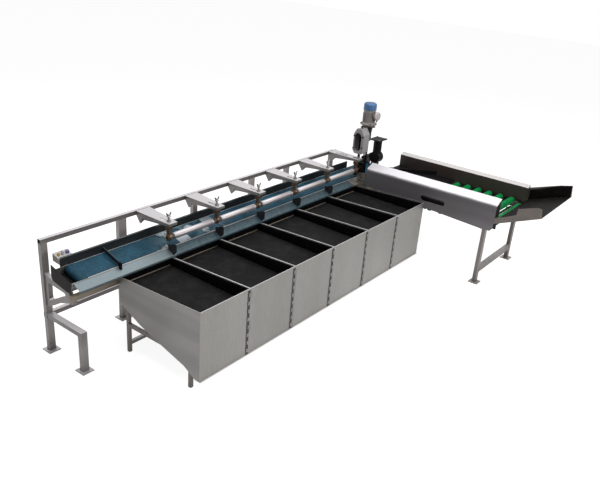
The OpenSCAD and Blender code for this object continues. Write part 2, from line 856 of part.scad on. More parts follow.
// one universal joint from a journal to a roller end; s is +1 to the right, -1 to the left
module u_joint(x, s) {
  g = roller_gap/2;
  cyl_x(s > 0 ? x + 21 : x - 32, s > 0 ? x + 32 : x - 21, roller_y, roller_z, 19, 32);
  cyl_x(s > 0 ? x + g - 6 : x - g, s > 0 ? x + g : x - g + 6, roller_y, roller_z, 18, 32);
  for (k = [-1, 1]) {
    box([s > 0 ? x + 31 : x - g + 4, roller_y + k*14 - 3, roller_z - 8],
      [s > 0 ? x + g - 4 : x - 31, roller_y + k*14 + 3, roller_z + 8]);
  }
  translate([s > 0 ? x + 37 : x - 37, roller_y, roller_z])
    rotate([90, 0, 0])
      cylinder(h = 36, r = 4, center = true, $fn = 20);
  cyl_x(s > 0 ? x + 31 : x - g + 5, s > 0 ? x + g - 5 : x - 31, roller_y, roller_z, 7, 20);
}

module roller_joints() {
  color([0.3, 0.3, 0.31])
    for (i = [1:n_bins])
      union() {
        cyl_x(i*bin_pitch - 22, i*bin_pitch + (i == n_bins ? plate_x + plate_t - 0.3 - line_x2 : 22),
          roller_y, roller_z, journal_r, 48);
        if (i < n_bins)
          u_joint(i*bin_pitch, 1);
        if (i > 1)
          u_joint(i*bin_pitch, -1);
      }
}

// ROLLER DRIVE
// toothed wheel with its hub, axis along X
module sprocket(z, x1, x2, teeth, bore) {
  difference() {
    union() {
      translate([chain_x - 3.5, roller_y, z])
        rotate([90, 0, 90])
          linear_extrude(height = 7)
            union() {
              circle(r = sprocket_r - 3, $fn = 48);
              for (k = [0:teeth - 1])
                rotate(k*360/teeth)
                  polygon([[sprocket_r - 5, -4.2], [sprocket_r + 3.5, -1.6], [sprocket_r + 3.5, 1.6],
                    [sprocket_r - 5, 4.2]]);
            }
      cyl_x(x1, x2, roller_y, z, 21, 32);
    }
    if (bore > 0)
      cyl_x(x1 - 1, x2 + 1, roller_y, z, bore, 48);
  }
}

module low_sprocket() {
  color([0.25, 0.25, 0.25])
    sprocket(roller_z, chain_x - 12, chain_x + 12, 17, journal_r);
}

module top_sprocket() {
  color([0.25, 0.25, 0.25])
    union() {
      sprocket(sprocket_top_z, chain_x - 12, chain_x + 12, 17, 0);
      cyl_x(chain_x + 12 - eps, plate_x + plate_t - 0.3, roller_y, sprocket_top_z, journal_r, 48);
    }
}

// stadium in the Y-Z plane from height z1 to z2
module loop_x(x1, x2, z1, z2, r) {
  cyl_x(x1, x2, roller_y, z1, r, 48);
  cyl_x(x1, x2, roller_y, z2, r, 48);
  box([x1, roller_y - r, z1], [x2, roller_y + r, z2]);
}

module drive_chain() {
  n = floor((sprocket_top_z - roller_z - 100)/25.4);
  color([0.2, 0.2, 0.2])
    union() {
      for (s = [-7, 4.2])
        difference() {
          loop_x(chain_x + s, chain_x + s + 2.8, roller_z, sprocket_top_z, sprocket_r + 6);
          loop_x(chain_x + s - 1, chain_x + s + 4, roller_z, sprocket_top_z, sprocket_r - 6);
        }
      for (k = [0:n])
        for (s = [-1, 1])
          cyl_x(chain_x - 7, chain_x + 7, roller_y + s*sprocket_r, roller_z + 54 + k*25.4, 4.2, 16);
    }
}

// black plate that stands on the last hanger and carries the drive
module drive_bracket() {
  color([0.1, 0.1, 0.1])
    difference() {
      union() {
        box([plate_x, roller_y - 62, link_z - 8], [plate_x + plate_t, roller_y + 62, cover_top]);
        box([line_x2 - 10, roller_y - 22, link_z - 8], [plate_x + eps, roller_y + 22, link_z]);
        box([line_x2 - 10, roller_y - 22, link_z - eps], [line_x2 + 10, roller_y + 22, roller_z - 20]);
        box([plate_x + plate_t - eps, motor_y - 62, cover_top - 10],
          [motor_x + 70, motor_y + 62, cover_top]);
        yz(plate_x + 7, plate_x + 60, [[roller_y - 54, cover_top - 9], [roller_y - 46, cover_top - 9],
          [roller_y - 46, cover_top - 90], [roller_y - 54, cover_top - 90]]);
      }
      cyl_x(line_x2 - 11, line_x2 + 11, roller_y, roller_z, housing_r + 0.3, 48);
      cyl_x(plate_x - 1, plate_x + plate_t + 1, roller_y, roller_z, journal_r + shaft_gap, 48);
      cyl_x(plate_x - 1, plate_x + plate_t + 1, roller_y, sprocket_top_z, journal_r + shaft_gap, 48);
      translate([motor_x, motor_y, cover_top - 11])
        cylinder(h = 12, r = 30, $fn = 32);
      box([plate_x - 1, roller_y - 36, roller_z + 70], [plate_x + plate_t + 1, roller_y + 36,
        cover_low + 40]);
    }
}

// outline of the chain guard, grown inwards by g
function cover_pts(g) = [[roller_y - cover_w/2 + g, cover_low + 22],
  [roller_y - cover_w/2 + 22, cover_low + g], [roller_y + cover_w/2 - 30, cover_low + g],
  [roller_y + cover_w/2 - g, cover_low + 36], [roller_y + cover_w/2 - g, cover_top - 62],
  [roller_y + cover_w/2 - 36, cover_top - g], [roller_y - cover_w/2 + 40, cover_top - g],
  [roller_y - cover_w/2 + g, cover_top - 68]];

// pressed chain guard, open to the plate and below, with a tall window in its face
module drive_cover() {
  wy = roller_y + 16;
  wr = 33;
  color([0.7, 0.69, 0.68])
    difference() {
      yz(cover_x, plate_x, cover_pts(0));
      yz(cover_x + 4, plate_x + 1, cover_pts(4));
      box([cover_x + 30, roller_y - sprocket_r - 8, cover_low - 5],
        [plate_x + 1, roller_y + sprocket_r + 8, cover_low + 30]);
      cyl_x(cover_x - 1, cover_x + 5, wy, cover_low + 34 + wr, wr, 32);
      cyl_x(cover_x - 1, cover_x + 5, wy, cover_top - 52 - wr, wr, 32);
      box([cover_x - 1, wy - wr, cover_low + 34 + wr], [cover_x + 5, wy + wr, cover_top - 52 - wr]);
    }
}

// vertical motor: lower flange, finned body and a round terminal box
module drive_motor() {
  zb = cover_top + 36;
  zt = motor_top - fan_len;
  color([0.55, 0.54, 0.53])
    union() {
      translate([motor_x, motor_y, cover_top])
        rotate_extrude($fn = 48)
          polygon([[0, 0], [62, 0], [92, 28], [98, 28], [98, 42], [80, 42], [76, 56], [0, 56]]);
      translate([motor_x, motor_y, zb + 20 - eps])
        linear_extrude(height = zt - zb - 20)
          union() {
            circle(r = motor_r - 8, $fn = 48);
            for (k = [0:19])
              rotate(k*18)
                translate([motor_r - 12, -1.8])
                  square([12, 3.6]);
          }
      translate([motor_x + 10, motor_y - 60, (zb + zt)/2 + 14])
        rotate([0, 90, -35])
          cylinder(h = motor_r + 42, r = 36, $fn = 32);
    }
}

module fan_cover() {
  color([0.2, 0.4, 0.66])
    translate([motor_x, motor_y, motor_top - fan_len])
      rotate_extrude($fn = 48)
        polygon([[0, 0], [motor_r + 5, 0], [motor_r + 7, 4], [motor_r + 7, fan_len - 24],
          [motor_r + 1, fan_len - 8], [motor_r - 12, fan_len], [0, fan_len]]);
}

// bevel reducer under the motor, with its output boss on the plate
module reducer() {
  color([0.28, 0.27, 0.26])
    union() {
      translate([motor_x, motor_y, cover_top - 178])
        rotate_extrude($fn = 48)
          polygon([[0, 0], [34, 0], [46, 12], [46, 118], [54, 128], [54, 168], [0, 168]]);
      translate([motor_x, motor_y, cover_top - 10 - eps])
        cylinder(h = 10, r = 29.5, $fn = 32);
      cyl_x(plate_x + plate_t, motor_x, roller_y, sprocket_top_z, 34, 32);
      for (k = [0:5])
        translate([motor_x, motor_y, cover_top - 160 + k*14])
          cylinder(h = 5, r = 50, $fn = 32);
    }
}

// BELT DRIVE
module belt_gearmotor() {
  gx = trough_x2 + 88;
  gy = belt_y + 100;
  gz = belt_z + 114;
  color([0.07, 0.07, 0.07])
    union() {
      cyl_x(gx - 52, gx + 52, gy, gz, 74, 48);
      cyl_y(gx, gy, by(belt_w + cheek_out, 30) + 12, gz, 32, 32);
      on_belt()
        difference() {
          box([drive_x - 42, belt_w + cheek_out, -drum_r - 46], [gx + 50, belt_w + cheek_out + 34, 66]);
          translate([drive_x, belt_w + cheek_out - 1, -drum_r - belt_t])
            rotate([-90, 0, 0])
              cylinder(h = 9, r = drum_shaft_r + shaft_gap, $fn = 32);
        }
      translate([gx, gy, gz + 60])
        cylinder(h = 166, r = 54, $fn = 32);
      box([gx - 100, gy - 78, gz + 226 - eps], [gx + 96, gy + 78, gz + 238]);
      box([trough_x2 + ts, gy - 24, belt_z + 1], [gx + 40, gy + 24, gz - 60]);
    }
}

// INFEED
// lower outline of the infeed's outer walls
function panel_pts(y2, top) = [[feed_y1, top], [feed_y1 + 6, carrier_top - 111],
  [feed_y1 + 30, carrier_top - 145], [feed_y1 + 114, carrier_top - 151], [y2, carrier_top - 63], [y2, top]];

module infeed_panel_near() {
  x = feed_x;
  color([0.4, 0.4, 0.42])
    difference() {
      union() {
        yz(x, x + fs, panel_pts(feed_y2, feed_top - 38));
        // rounded hood over the panel, down to the inner wall
        xz(feed_y1, feed_y2, concat([for (a = [0:11.5:69]) [x + hood_r - hood_r*cos(a),
          feed_top - 38 + hood_r*sin(a)]], [[inner_x1, feed_top + 44], [inner_x1, wall_low],
          [inner_x1 - fs, wall_low], [inner_x1 - fs, feed_top + 42.6 - fs]],
          [for (a = [69:-11.5:0]) [x + hood_r - (hood_r - fs)*cos(a),
          feed_top - 38.02 + (hood_r - fs)*sin(a)]]));
        // end plate that stands beside the last roller
        yz(x + fs - eps, x + 2*fs, [[feed_y2 - 30, carrier_top - 89], [belt_y - 55, carrier_top - 89],
          [belt_y - 55, carrier_top + 71], [feed_y2 - 30, carrier_top + 99]]);
        for (y = [head_y, tail_y])
          cyl_x(x + fs - eps, x + 26, y, loop_z, 30, 32);
      }
      for (y = [head_y, tail_y])
        cyl_x(x + fs, x + 27, y, loop_z, feed_shaft_r + shaft_gap, 32);
      // obround hand slot
      box([x - 1, head_y - 200, slot_z - slot_r], [x + fs + 1, head_y + 40, slot_z + slot_r]);
      for (y = [head_y - 200, head_y + 40])
        cyl_x(x - 1, x + fs + 1, y, slot_z, slot_r, 32);
    }
}

module infeed_panel_far() {
  x = feed_x2;
  y2 = feed_y2 + 72;
  color([0.52, 0.48, 0.43])
    difference() {
      union() {
        yz(x - fs, x, panel_pts(y2, feed_top));
        xz(feed_y1, y2, [[inner_x2, wall_low], [inner_x2 + fs, wall_low],
          [inner_x2 + fs, feed_top - 27], [x - fs, feed_top - 2], [x, feed_top], [x, feed_top + fs],
          [x - fs, feed_top + fs], [inner_x2, feed_top - 27 + fs]]);
        for (y = [head_y, tail_y])
          cyl_x(x - 26, x - fs + eps, y, loop_z, 30, 32);
      }
      cyl_x(x - 27, x - fs, tail_y, loop_z, feed_shaft_r + shaft_gap, 32);
      cyl_x(x - 27, x + 1, head_y, loop_z, feed_shaft_r + shaft_gap, 32);
    }
}

// position along the carrier loop: s from 0 to 1, gives [y, z]
function loop_at(s) = let (l = head_y - tail_y, c = 2*l + 2*PI*loop_r, d = (s - floor(s))*c)
  d < l ? [tail_y + d, loop_z + loop_r] : d < l + PI*loop_r
    ? [head_y + loop_r*sin((d - l)/loop_r*180/PI), loop_z + loop_r*cos((d - l)/loop_r*180/PI)]
    : d < 2*l + PI*loop_r ? [head_y - (d - l - PI*loop_r), loop_z - loop_r]
    : [tail_y - loop_r*sin((d - 2*l - PI*loop_r)/loop_r*180/PI),
    loop_z - loop_r*cos((d - 2*l - PI*loop_r)/loop_r*180/PI)];

module carrier_rollers() {
  xa = inner_x1 + 33;
  xb = inner_x2 - 33;
  color([0.03, 0.5, 0.16])
    for (k = [0:carrier_n - 1]) {
      p = loop_at((k + 0.42)/carrier_n);
      translate([xa, p[0], p[1]])
        rotate([0, 90, 0])
          rotate_extrude($fn = 24)
            polygon([[0, -9.7], [6, -9.7], [6, 0], [carrier_r - 8, 0], [carrier_r, 8],
              [carrier_r, xb - xa - 8], [carrier_r - 8, xb - xa], [6, xb - xa], [6, xb - xa + 9.7],
              [0, xb - xa + 9.7]]);
    }
}

// stadium around both infeed shafts
module carrier_loop(x1, x2, r) {
  cyl_x(x1, x2, head_y, loop_z, r, 48);
  cyl_x(x1, x2, tail_y, loop_z, r, 48);
  box([x1, tail_y, loop_z - r], [x2, head_y, loop_z + r]);
}

module carrier_chains() {
  color([0.18, 0.18, 0.18])
    for (x = [inner_x1 + 11, inner_x2 - 23])
      difference() {
        carrier_loop(x, x + 12, loop_r + 7);
        carrier_loop(x - 1, x + 13, loop_r - 5);
      }
}

module feed_shaft(y, x2) {
  color([0.3, 0.3, 0.3])
    union() {
      cyl_x(feed_x + 4, x2, y, loop_z, feed_shaft_r, 32);
      for (x = [inner_x1 + 11, inner_x2 - 23])
        cyl_x(x + 2, x + 10, y, loop_z, loop_r - 5.4, 32);
    }
}

module head_shaft() {
  feed_shaft(head_y, feed_x2 + 70);
}

module tail_shaft() {
  feed_shaft(tail_y, feed_x2 - 4);
}

// padded black floor from the carrier rollers to the belt, with a padded guide and a side edge
module transfer_chute() {
  y1 = head_y + loop_r + carrier_r + 6;
  y2 = feed_y2 + 72;
  color([0.06, 0.06, 0.06])
    union() {
      translate([0, 0, deck_z - 20])
        linear_extrude(height = 14)
          polygon([[inner_x1, y1], [inner_x2, y1], [inner_x2, y2], [belt_right + 8, y2],
            [belt_right + 8, chute_end], [inner_x1 + 40, chute_end], [inner_x1 + 40, feed_y2 + 3],
            [inner_x1, feed_y2 + 3]]);
      translate([0, 0, deck_z - 6 - eps])
        linear_extrude(height = 46)
          polygon([[inner_x2, head_y + 350], [inner_x2, head_y + 382], [belt_right + 8, y2],
            [belt_right - 8, y2], [belt_right - 8, y2 - 22]]);
      box([inner_x1 + 40, feed_y2 + 3, deck_z - 6 - eps], [inner_x1 + 50, chute_end, deck_z + 34]);
    }
}

function hop_z(y) = deck_z - 12 + (feed_y1 - 8 - y)*tan(hopper_slope);

// open sheet hopper: sloping floor and two side walls
module hopper() {
  ye = hopper_y;
  h = hopper_wall;
  color([0.5, 0.49, 0.48])
    union() {
      yz(hop_x1, hop_x2, [[feed_y1 - 8, hop_z(feed_y1 - 8)], [ye, hop_z(ye)], [ye, hop_z(ye) - fs],
        [feed_y1 - 8, hop_z(feed_y1 - 8) - fs]]);
      yz(hop_x2 - fs, hop_x2, [[tail_y - 30, loop_z + 38], [tail_y - 30, deck_z + 110],
        [ye + 149, hop_z(ye + 149) + h + 28], [ye + 14, hop_z(ye) + h + 10], [ye, hop_z(ye) - fs],
        [feed_y1 - 8, hop_z(feed_y1 - 8) - 40]]);
      yz(hop_x1, hop_x1 + fs, [[tail_y - 30, loop_z + 38], [tail_y - 30, deck_z - 12],
        [feed_y1 - 80, hop_z(feed_y1 - 80) + 30], [ye + 262, hop_z(ye + 262) + 50],
        [ye + 255, hop_z(ye + 255) + h], [ye + 60, hop_z(ye + 60) + h], [ye + 14, hop_z(ye) + h - 20],
        [ye, hop_z(ye) - fs], [feed_y1 - 8, hop_z(feed_y1 - 8) - 40]]);
    }
}

module hopper_pads() {
  ye = hopper_y;
  h = hopper_wall;
  color([0.1, 0.08, 0.07])
    union() {
      yz(hop_x1 + fs, hop_x2 - fs, [[feed_y1 - 8, hop_z(feed_y1 - 8)], [ye, hop_z(ye)], [ye, hop_z(ye) + 4],
        [feed_y1 - 8, hop_z(feed_y1 - 8) + 4]]);
      yz(hop_x2 - fs - 6, hop_x2 - fs, [[feed_y1 - 8, hop_z(feed_y1 - 8) + 4 - eps],
        [feed_y1 - 8, deck_z + 110], [ye + 149, hop_z(ye + 149) + h + 22],
        [ye + 14, hop_z(ye) + h + 4], [ye, hop_z(ye) + 4 - eps]]);
    }
}

module feed_leg(x, y) {
  box([x, y, foot_t - eps], [x + post_w, y + frame_tube, leg_top(y)]);
  box([x + post_w/2 - foot_l, y + frame_tube/2 - foot_l, 0],
    [x + post_w/2 + foot_l, y + frame_tube/2 + foot_l, foot_t]);
}

function leg_top(y) = y < head_y ? loop_z - 32 : wall_low;

module infeed_legs() {
  xa = feed_x + fs;
  xb = feed_x2 - fs - post_w;
  color([0.5, 0.48, 0.46])
    for (y = [tail_y - 20, feed_y2 - 150])
      union() {
        feed_leg(xa, y);
        feed_leg(xb, y);
        box([xa + post_w - eps, y, 120], [xb + eps, y + frame_tube, 190]);
      }
}

module infeed_gearmotor() {
  color([0.2, 0.3, 0.4])
    difference() {
      union() {
        box([feed_x2, head_y - 62, loop_z - 70], [feed_x2 + gear_box - 6, head_y + 62, loop_z + 70]);
        cyl_y(feed_x2 + 46, head_y + 62 - eps, head_y + 262, loop_z, 44, 32);
      }
      cyl_x(feed_x2 - 1, feed_x2 + 70.3, head_y, loop_z, feed_shaft_r + shaft_gap, 32);
    }
}

place() {
  bin_fronts();
  bin_dividers();
  bin_floor();
  bin_back();
  bin_linings();
  bin_stand();
  stand_rail();
  posts();
  top_beam();
  lower_rail();
  outriggers();
  trough_brackets();
  front_rail();
  slider_bed();
  belt();
  tail_drum();
  drive_drum();
  drum_plates();
  back_guard();
  apron();
  divider_fins();
  stop_plate();
  stop_rubber();
  take_up();
  arms();
  drive_arm();
  hangers();
  bearing_units();
  wing_screw_1();
  wing_screw_2();
  wing_screw_3();
  wing_screw_4();
  wing_screw_5();
  roller_1();
  roller_2();
  roller_3();
  roller_4();
  roller_5();
  roller_joints();
  drive_bracket();
  drive_cover();
  drive_motor();
  fan_cover();
  reducer();
  top_sprocket();
  low_sprocket();
  drive_chain();
  belt_gearmotor();
  infeed_panel_near();
  infeed_panel_far();
  carrier_rollers();
  carrier_chains();
  head_shaft();
  tail_shaft();
  transfer_chute();
  hopper();
  hopper_pads();
  infeed_legs();
  infeed_gearmotor();
}
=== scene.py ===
"""Looks of the fruit sizing line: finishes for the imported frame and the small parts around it. Metres."""
import math

import bmesh
import bpy
import numpy as np
from mathutils import Matrix, Vector


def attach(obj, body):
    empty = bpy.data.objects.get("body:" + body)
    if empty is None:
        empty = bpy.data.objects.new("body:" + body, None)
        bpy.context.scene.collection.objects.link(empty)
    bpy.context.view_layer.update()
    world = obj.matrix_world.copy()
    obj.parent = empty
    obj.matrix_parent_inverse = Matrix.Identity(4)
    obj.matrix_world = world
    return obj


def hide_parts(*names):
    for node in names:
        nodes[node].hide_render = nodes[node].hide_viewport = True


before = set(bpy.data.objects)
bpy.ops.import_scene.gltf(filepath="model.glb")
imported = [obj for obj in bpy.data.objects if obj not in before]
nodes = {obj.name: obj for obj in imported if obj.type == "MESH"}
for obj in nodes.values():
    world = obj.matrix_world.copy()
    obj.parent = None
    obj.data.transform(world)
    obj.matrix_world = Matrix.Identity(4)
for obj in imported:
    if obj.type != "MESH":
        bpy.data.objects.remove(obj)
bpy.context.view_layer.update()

# Sizes and places in layout millimetres, from the line's zero, the bins' front and the floor

MIDDLE_X, MIDDLE_Y = 2126, 46
TILT = math.radians(17)
BELT_COS, BELT_SIN = math.cos(TILT), math.sin(TILT)
BELT_Y, BELT_Z = 985, 791
PITCH, LINE_Y, LINE_Z = 600, 967, 891
BIN_DEPTH, BIN_LOW, BIN_TOP, BIN_BACK_TOP = 949, 114, 750, 712
BED_UNDER_FRONT, BED_UNDER_BACK, FOAM = 132, 74, 9
BED_SLOPE = (BIN_BACK_TOP - BED_UNDER_BACK - BIN_TOP + BED_UNDER_FRONT) / BIN_DEPTH
FRAME_Y, FRAME_W = 1347, 40
CHAIN_X, CHAIN_R = 3700, 40
GUARD_LOW, GUARD_TOP, GUARD_FRONT, GUARD_BACK = 1098, 1400, 3600, 3730
UPPER_WHEEL_Z = GUARD_TOP - 70
MOTOR_X, MOTOR_Y, MOTOR_TOP, FAN_LEN, CAP_LEN = 3800, 975, 1688, 108, 82
LOOP_Z, HEAD_Y, TAIL_Y, LOOP_R = 705, -20, -752, 56
HOPPER_Y, HOPPER_Z, HOPPER_SLOPE = -858, 789, math.radians(19)
ALONG, ACROSS, UP = Vector((1, 0, 0)), Vector((0, 1, 0)), Vector((0, 0, 1))


def at(x, y, z):
    """Point of the layout in millimetres as a point of the frame in metres."""
    return Vector(((x - MIDDLE_X) / 1000, (y - MIDDLE_Y) / 1000, z / 1000))


def on_belt(x, u, v):
    """Point across the belt: u along its width and v square to its face, in millimetres."""
    return at(x, BELT_Y + u * BELT_COS - v * BELT_SIN, BELT_Z + u * BELT_SIN + v * BELT_COS)


def circle(count, radius=1.0, start=0.0):
    """Points (a, b) spread evenly round a circle, the first at the angle start."""
    angles = (start + 2 * math.pi * k / count for k in range(count))
    return [(radius * math.cos(t), radius * math.sin(t)) for t in angles]


def into_scene(thing):
    bpy.context.scene.collection.objects.link(thing)
    return thing


# Nodes


def feed(tree, socket, value):
    """Links an output to the input socket, or sets the socket to a constant."""
    if isinstance(value, bpy.types.NodeSocket):
        tree.links.new(value, socket)
    elif value is not None:
        socket.default_value = value


def put(tree, kind, ins=None, **values):
    """New node of that kind: values set properties or inputs, ins maps inputs to sockets or constants."""
    n = tree.nodes.new(kind)
    for key, value in values.items():
        if hasattr(n, key):
            setattr(n, key, value)
        else:
            n.inputs[key.replace("_", " ")].default_value = value
    for key, value in (ins or {}).items():
        feed(tree, n.inputs[key], value)
    return n


def first(tree, kind, ins=None, **values):
    """First output of a new node."""
    return put(tree, kind, ins, **values).outputs[0]


def maths(op):
    """Function that puts a Math node of that operation into a tree."""
    def node(tree, a, b=None, clamp=False):
        return first(tree, "ShaderNodeMath", {0: a, 1: b}, operation=op, use_clamp=clamp)
    return node


add, sub, mul, div, larger = map(maths, ("ADD", "SUBTRACT", "MULTIPLY", "DIVIDE", "MAXIMUM"))
remainder, power, size_of, sine = map(maths, ("MODULO", "POWER", "ABSOLUTE", "SINE"))


def part(tree, vector, axis):
    return put(tree, "ShaderNodeSeparateXYZ", {0: vector}).outputs[axis]


def ramp(tree, source, low, high, to_low=0.0, to_high=1.0):
    """Smooth step of the source between low and high."""
    ends = {"Value": source, "From Min": low, "From Max": high, "To Min": to_low, "To Max": to_high}
    return first(tree, "ShaderNodeMapRange", ends, clamp=True, interpolation_type="SMOOTHSTEP")


def blend_colour(tree, factor, a, b):
    n = put(tree, "ShaderNodeMix", data_type="RGBA", clamp_factor=True)
    ends = [s for s in n.inputs if s.type == "RGBA"]
    for socket, value in zip((n.inputs["Factor"], *ends), (factor, a, b)):
        feed(tree, socket, (*value, 1) if isinstance(value, tuple) else value)
    return [s for s in n.outputs if s.type == "RGBA"][0]


def layered(tree, tone, *layers):
    """Tone with layers over it, each given as a mask, its share and a colour."""
    for mask, share, colour in layers:
        tone = blend_colour(tree, mul(tree, mask, share), tone, colour)
    return tone


def noise(tree, vector, scale, detail, rough=0.5):
    return first(tree, "ShaderNodeTexNoise", {"Vector": vector, "Scale": scale, "Detail": detail, "Roughness": rough})


def bands(tree, vector, way, **values):
    node = put(tree, "ShaderNodeTexWave", {"Vector": vector}, wave_type="BANDS", bands_direction=way, **values)
    return node.outputs["Fac"]


def new_tree(base, name, carries, outs, sizes):
    """Node group with what it carries, its sizes and its outputs as named sockets; the type of a size
    gives the kind of its socket, and None stands for a material."""
    g = bpy.data.node_groups.new(name, base)
    kinds = {float: "Float", int: "Int", tuple: "Vector", type(None): "Material"}
    g.interface.new_socket(carries, in_out="INPUT", socket_type="NodeSocket" + carries)
    for label, value in sizes.items():
        socket = g.interface.new_socket(label.replace("_", " "), in_out="INPUT",
                                        socket_type="NodeSocket" + kinds[type(value)])
        if value is not None:
            socket.default_value = value
    for label in outs:
        kind = "Float" if label != "Geometry" else label
        g.interface.new_socket(label, in_out="OUTPUT", socket_type="NodeSocket" + kind)
    return g, g.nodes.new("NodeGroupInput").outputs, g.nodes.new("NodeGroupOutput").inputs


# Camera, light and floor


def make_camera():
    """The photograph's camera, with its focal length in pixels of the photograph's width."""
    az, el, roll = (math.radians(a) for a in (54.24, 24.36, 4.68))
    focal, width, sensor = 674.35, 600, 36
    look = Vector((math.sin(az) * math.cos(el), math.cos(az) * math.cos(el), -math.sin(el)))
    right = Vector((math.cos(az), -math.sin(az), 0))
    up = right.cross(look)
    data = bpy.data.cameras.new("photo_camera")
    data.sensor_width = sensor
    data.lens = focal * sensor / width
    data.clip_start, data.clip_end = 0.1, 60
    cam = into_scene(bpy.data.objects.new("photo_camera", data))
    turn = Matrix((math.cos(roll) * right + math.sin(roll) * up, math.cos(roll) * up - math.sin(roll) * right, -look))
    place = turn.transposed().to_4x4()
    place.translation = at(-3138, -3163, 3340)
    cam.matrix_world = place
    bpy.context.scene.camera = cam
    bpy.context.scene.view_settings.view_transform = "Standard"


def add_lamp(name, place, aim, size, power):
    data = bpy.data.lights.new(name, "AREA")
    data.shape = "RECTANGLE"
    data.size, data.size_y = size
    data.energy = power
    lamp = into_scene(bpy.data.objects.new(name, data))
    lamp.location = place
    lamp.rotation_mode = "QUATERNION"
    lamp.rotation_quaternion = (Vector(aim) - Vector(place)).to_track_quat("-Z", "Y")
    lamp.visible_camera = False


def two_greys(tree, lit, seen):
    """Grey that lights the machine at one level and shows to the camera, mirrors and glass at another."""
    rays = put(tree, "ShaderNodeLightPath").outputs
    level = rays["Is Camera Ray"]
    for kind in ("Is Glossy Ray", "Is Transmission Ray"):
        level = larger(tree, level, rays[kind])
    return blend_colour(tree, level, (lit,) * 3, (seen,) * 3)


def make_studio():
    """Two soft lamps, a pale world and a plain pale floor."""
    add_lamp("lamp_over", (0, 0.2, 5.6), (0, 0.2, 0), (8, 5), 235)
    add_lamp("lamp_front", (1.5, -6.5, 2.6), (0.6, 0, 0.5), (4, 2.6), 160)
    world = bpy.data.worlds.new("studio")
    bpy.context.scene.world = world
    world.use_nodes = True
    t = world.node_tree
    feed(t, t.nodes["Background"].inputs["Color"], two_greys(t, 0.18, 1.0))
    half, drop = 30, 0.0005
    mesh = bpy.data.meshes.new("studio_floor")
    mesh.from_pydata([(a * half, b * half, 0) for a, b in ((-1, -1), (1, -1), (1, 1), (-1, 1))], [], [(0, 1, 2, 3)])
    floor = into_scene(bpy.data.objects.new("studio_floor", mesh))
    floor.location.z = -drop
    mat = bpy.data.materials.new("pale_floor")
    mat.use_nodes = True
    t = mat.node_tree
    looks = {"Base Color": two_greys(t, 0.24, 0.62), "Emission Color": two_greys(t, 0.0, 0.86),
             "Emission Strength": 1.0, "Roughness": 0.9, "Specular IOR Level": 0.0}
    for label, value in looks.items():
        feed(t, t.nodes["Principled BSDF"].inputs[label], value)
    mesh.materials.append(mat)


# Masks that the finishes share


def cloud_group():
    """Soft clouds: a wide mask for colour and a fine one for roughness."""
    g, i, o = new_tree("ShaderNodeTree", "finish_clouds", "Vector", ("Wide", "Fine"), dict(Scale=4.0, Fine=60.0))
    feed(g, o["Wide"], ramp(g, noise(g, i["Vector"], i["Scale"], 4.0, 0.6), 0.32, 0.68))
    feed(g, o["Fine"], ramp(g, noise(g, i["Vector"], i["Fine"], 3.0, 0.55), 0.30, 0.70))
    return g


def grain_group():
    """Brushing or rolling marks: noise drawn out along one direction, given as a stretch for each axis."""
    g, i, o = new_tree("ShaderNodeTree", "brushed_grain", "Vector", ("Grain", "Band"), dict(Stretch=(40, 40, 2)))
    drawn = first(g, "ShaderNodeVectorMath", {0: i["Vector"], 1: i["Stretch"]}, operation="MULTIPLY")
    feed(g, o["Grain"], ramp(g, noise(g, drawn, 9.0, 5.0, 0.7), 0.30, 0.70))
    feed(g, o["Band"], ramp(g, noise(g, drawn, 0.12, 2.0), 0.34, 0.66))
    return g


def scuffs_and_top_light_group():
    """Lighter colour painted as top light on faces that look up, broken by clouds, and the scuffs near the floor."""
    g, i, o = new_tree("ShaderNodeTree", "scuffs_and_painted_top_light", "Vector", ("Up", "Low"), dict(Floor_Height=0.25))
    xyz = i["Vector"]
    up = part(g, put(g, "ShaderNodeNewGeometry").outputs["Normal"], "Z")
    soft = add(g, up, mul(g, sub(g, noise(g, xyz, 7.0, 3.0), 0.5), 0.25))
    # Painted top light: this mask lightens faces that look up
    feed(g, o["Up"], ramp(g, soft, 0.35, 0.85))
    near = sub(g, 1.0, div(g, part(g, xyz, "Z"), i["Floor Height"]), True)
    feed(g, o["Low"], ramp(g, mul(g, near, noise(g, xyz, 34.0, 6.0, 0.75)), 0.12, 0.5))
    return g


def cell_group():
    """Closed cells of foam or a pebbled rubber face."""
    g, i, o = new_tree("ShaderNodeTree", "foam_cells", "Vector", ("Cell", "Dust"), dict(Scale=260.0))
    cell = put(g, "ShaderNodeTexVoronoi", {"Vector": i["Vector"], "Scale": i["Scale"]}).outputs["Distance"]
    feed(g, o["Cell"], ramp(g, cell, 0.1, 0.75))
    feed(g, o["Dust"], ramp(g, noise(g, i["Vector"], 9.0, 6.0, 0.65), 0.42, 0.75))
    return g


GROUPS = {"clouds": cloud_group(), "grain": grain_group(), "scuffs_and_top_light": scuffs_and_top_light_group(), "cells": cell_group()}


def use_group(tree, name, vector, **sizes):
    return put(tree, "ShaderNodeGroup", {"Vector": vector}, node_tree=GROUPS[name], **sizes).outputs


# Finishes


def start_material(name):
    mat = bpy.data.materials.new(name)
    mat.use_nodes = True
    return mat, mat.node_tree, put(mat.node_tree, "ShaderNodeTexCoord").outputs["Object"]


def close_material(mat, tone, sheen, rough, height, strength, depth, **levels):
    """Colour, roughness from the sheen mask, bump and other levels of a finish."""
    t = mat.node_tree
    looks = {"Base Color": tone, "Roughness": ramp(t, sheen, *rough),
             "Normal": first(t, "ShaderNodeBump", {"Height": height}, Strength=strength, Distance=depth), **levels}
    for label, value in looks.items():
        feed(t, t.nodes["Principled BSDF"].inputs[label.replace("_", " ")], value)
    return mat


def scaled(colour, by, more=0.0):
    return tuple(min(1, c * by + more) for c in colour)


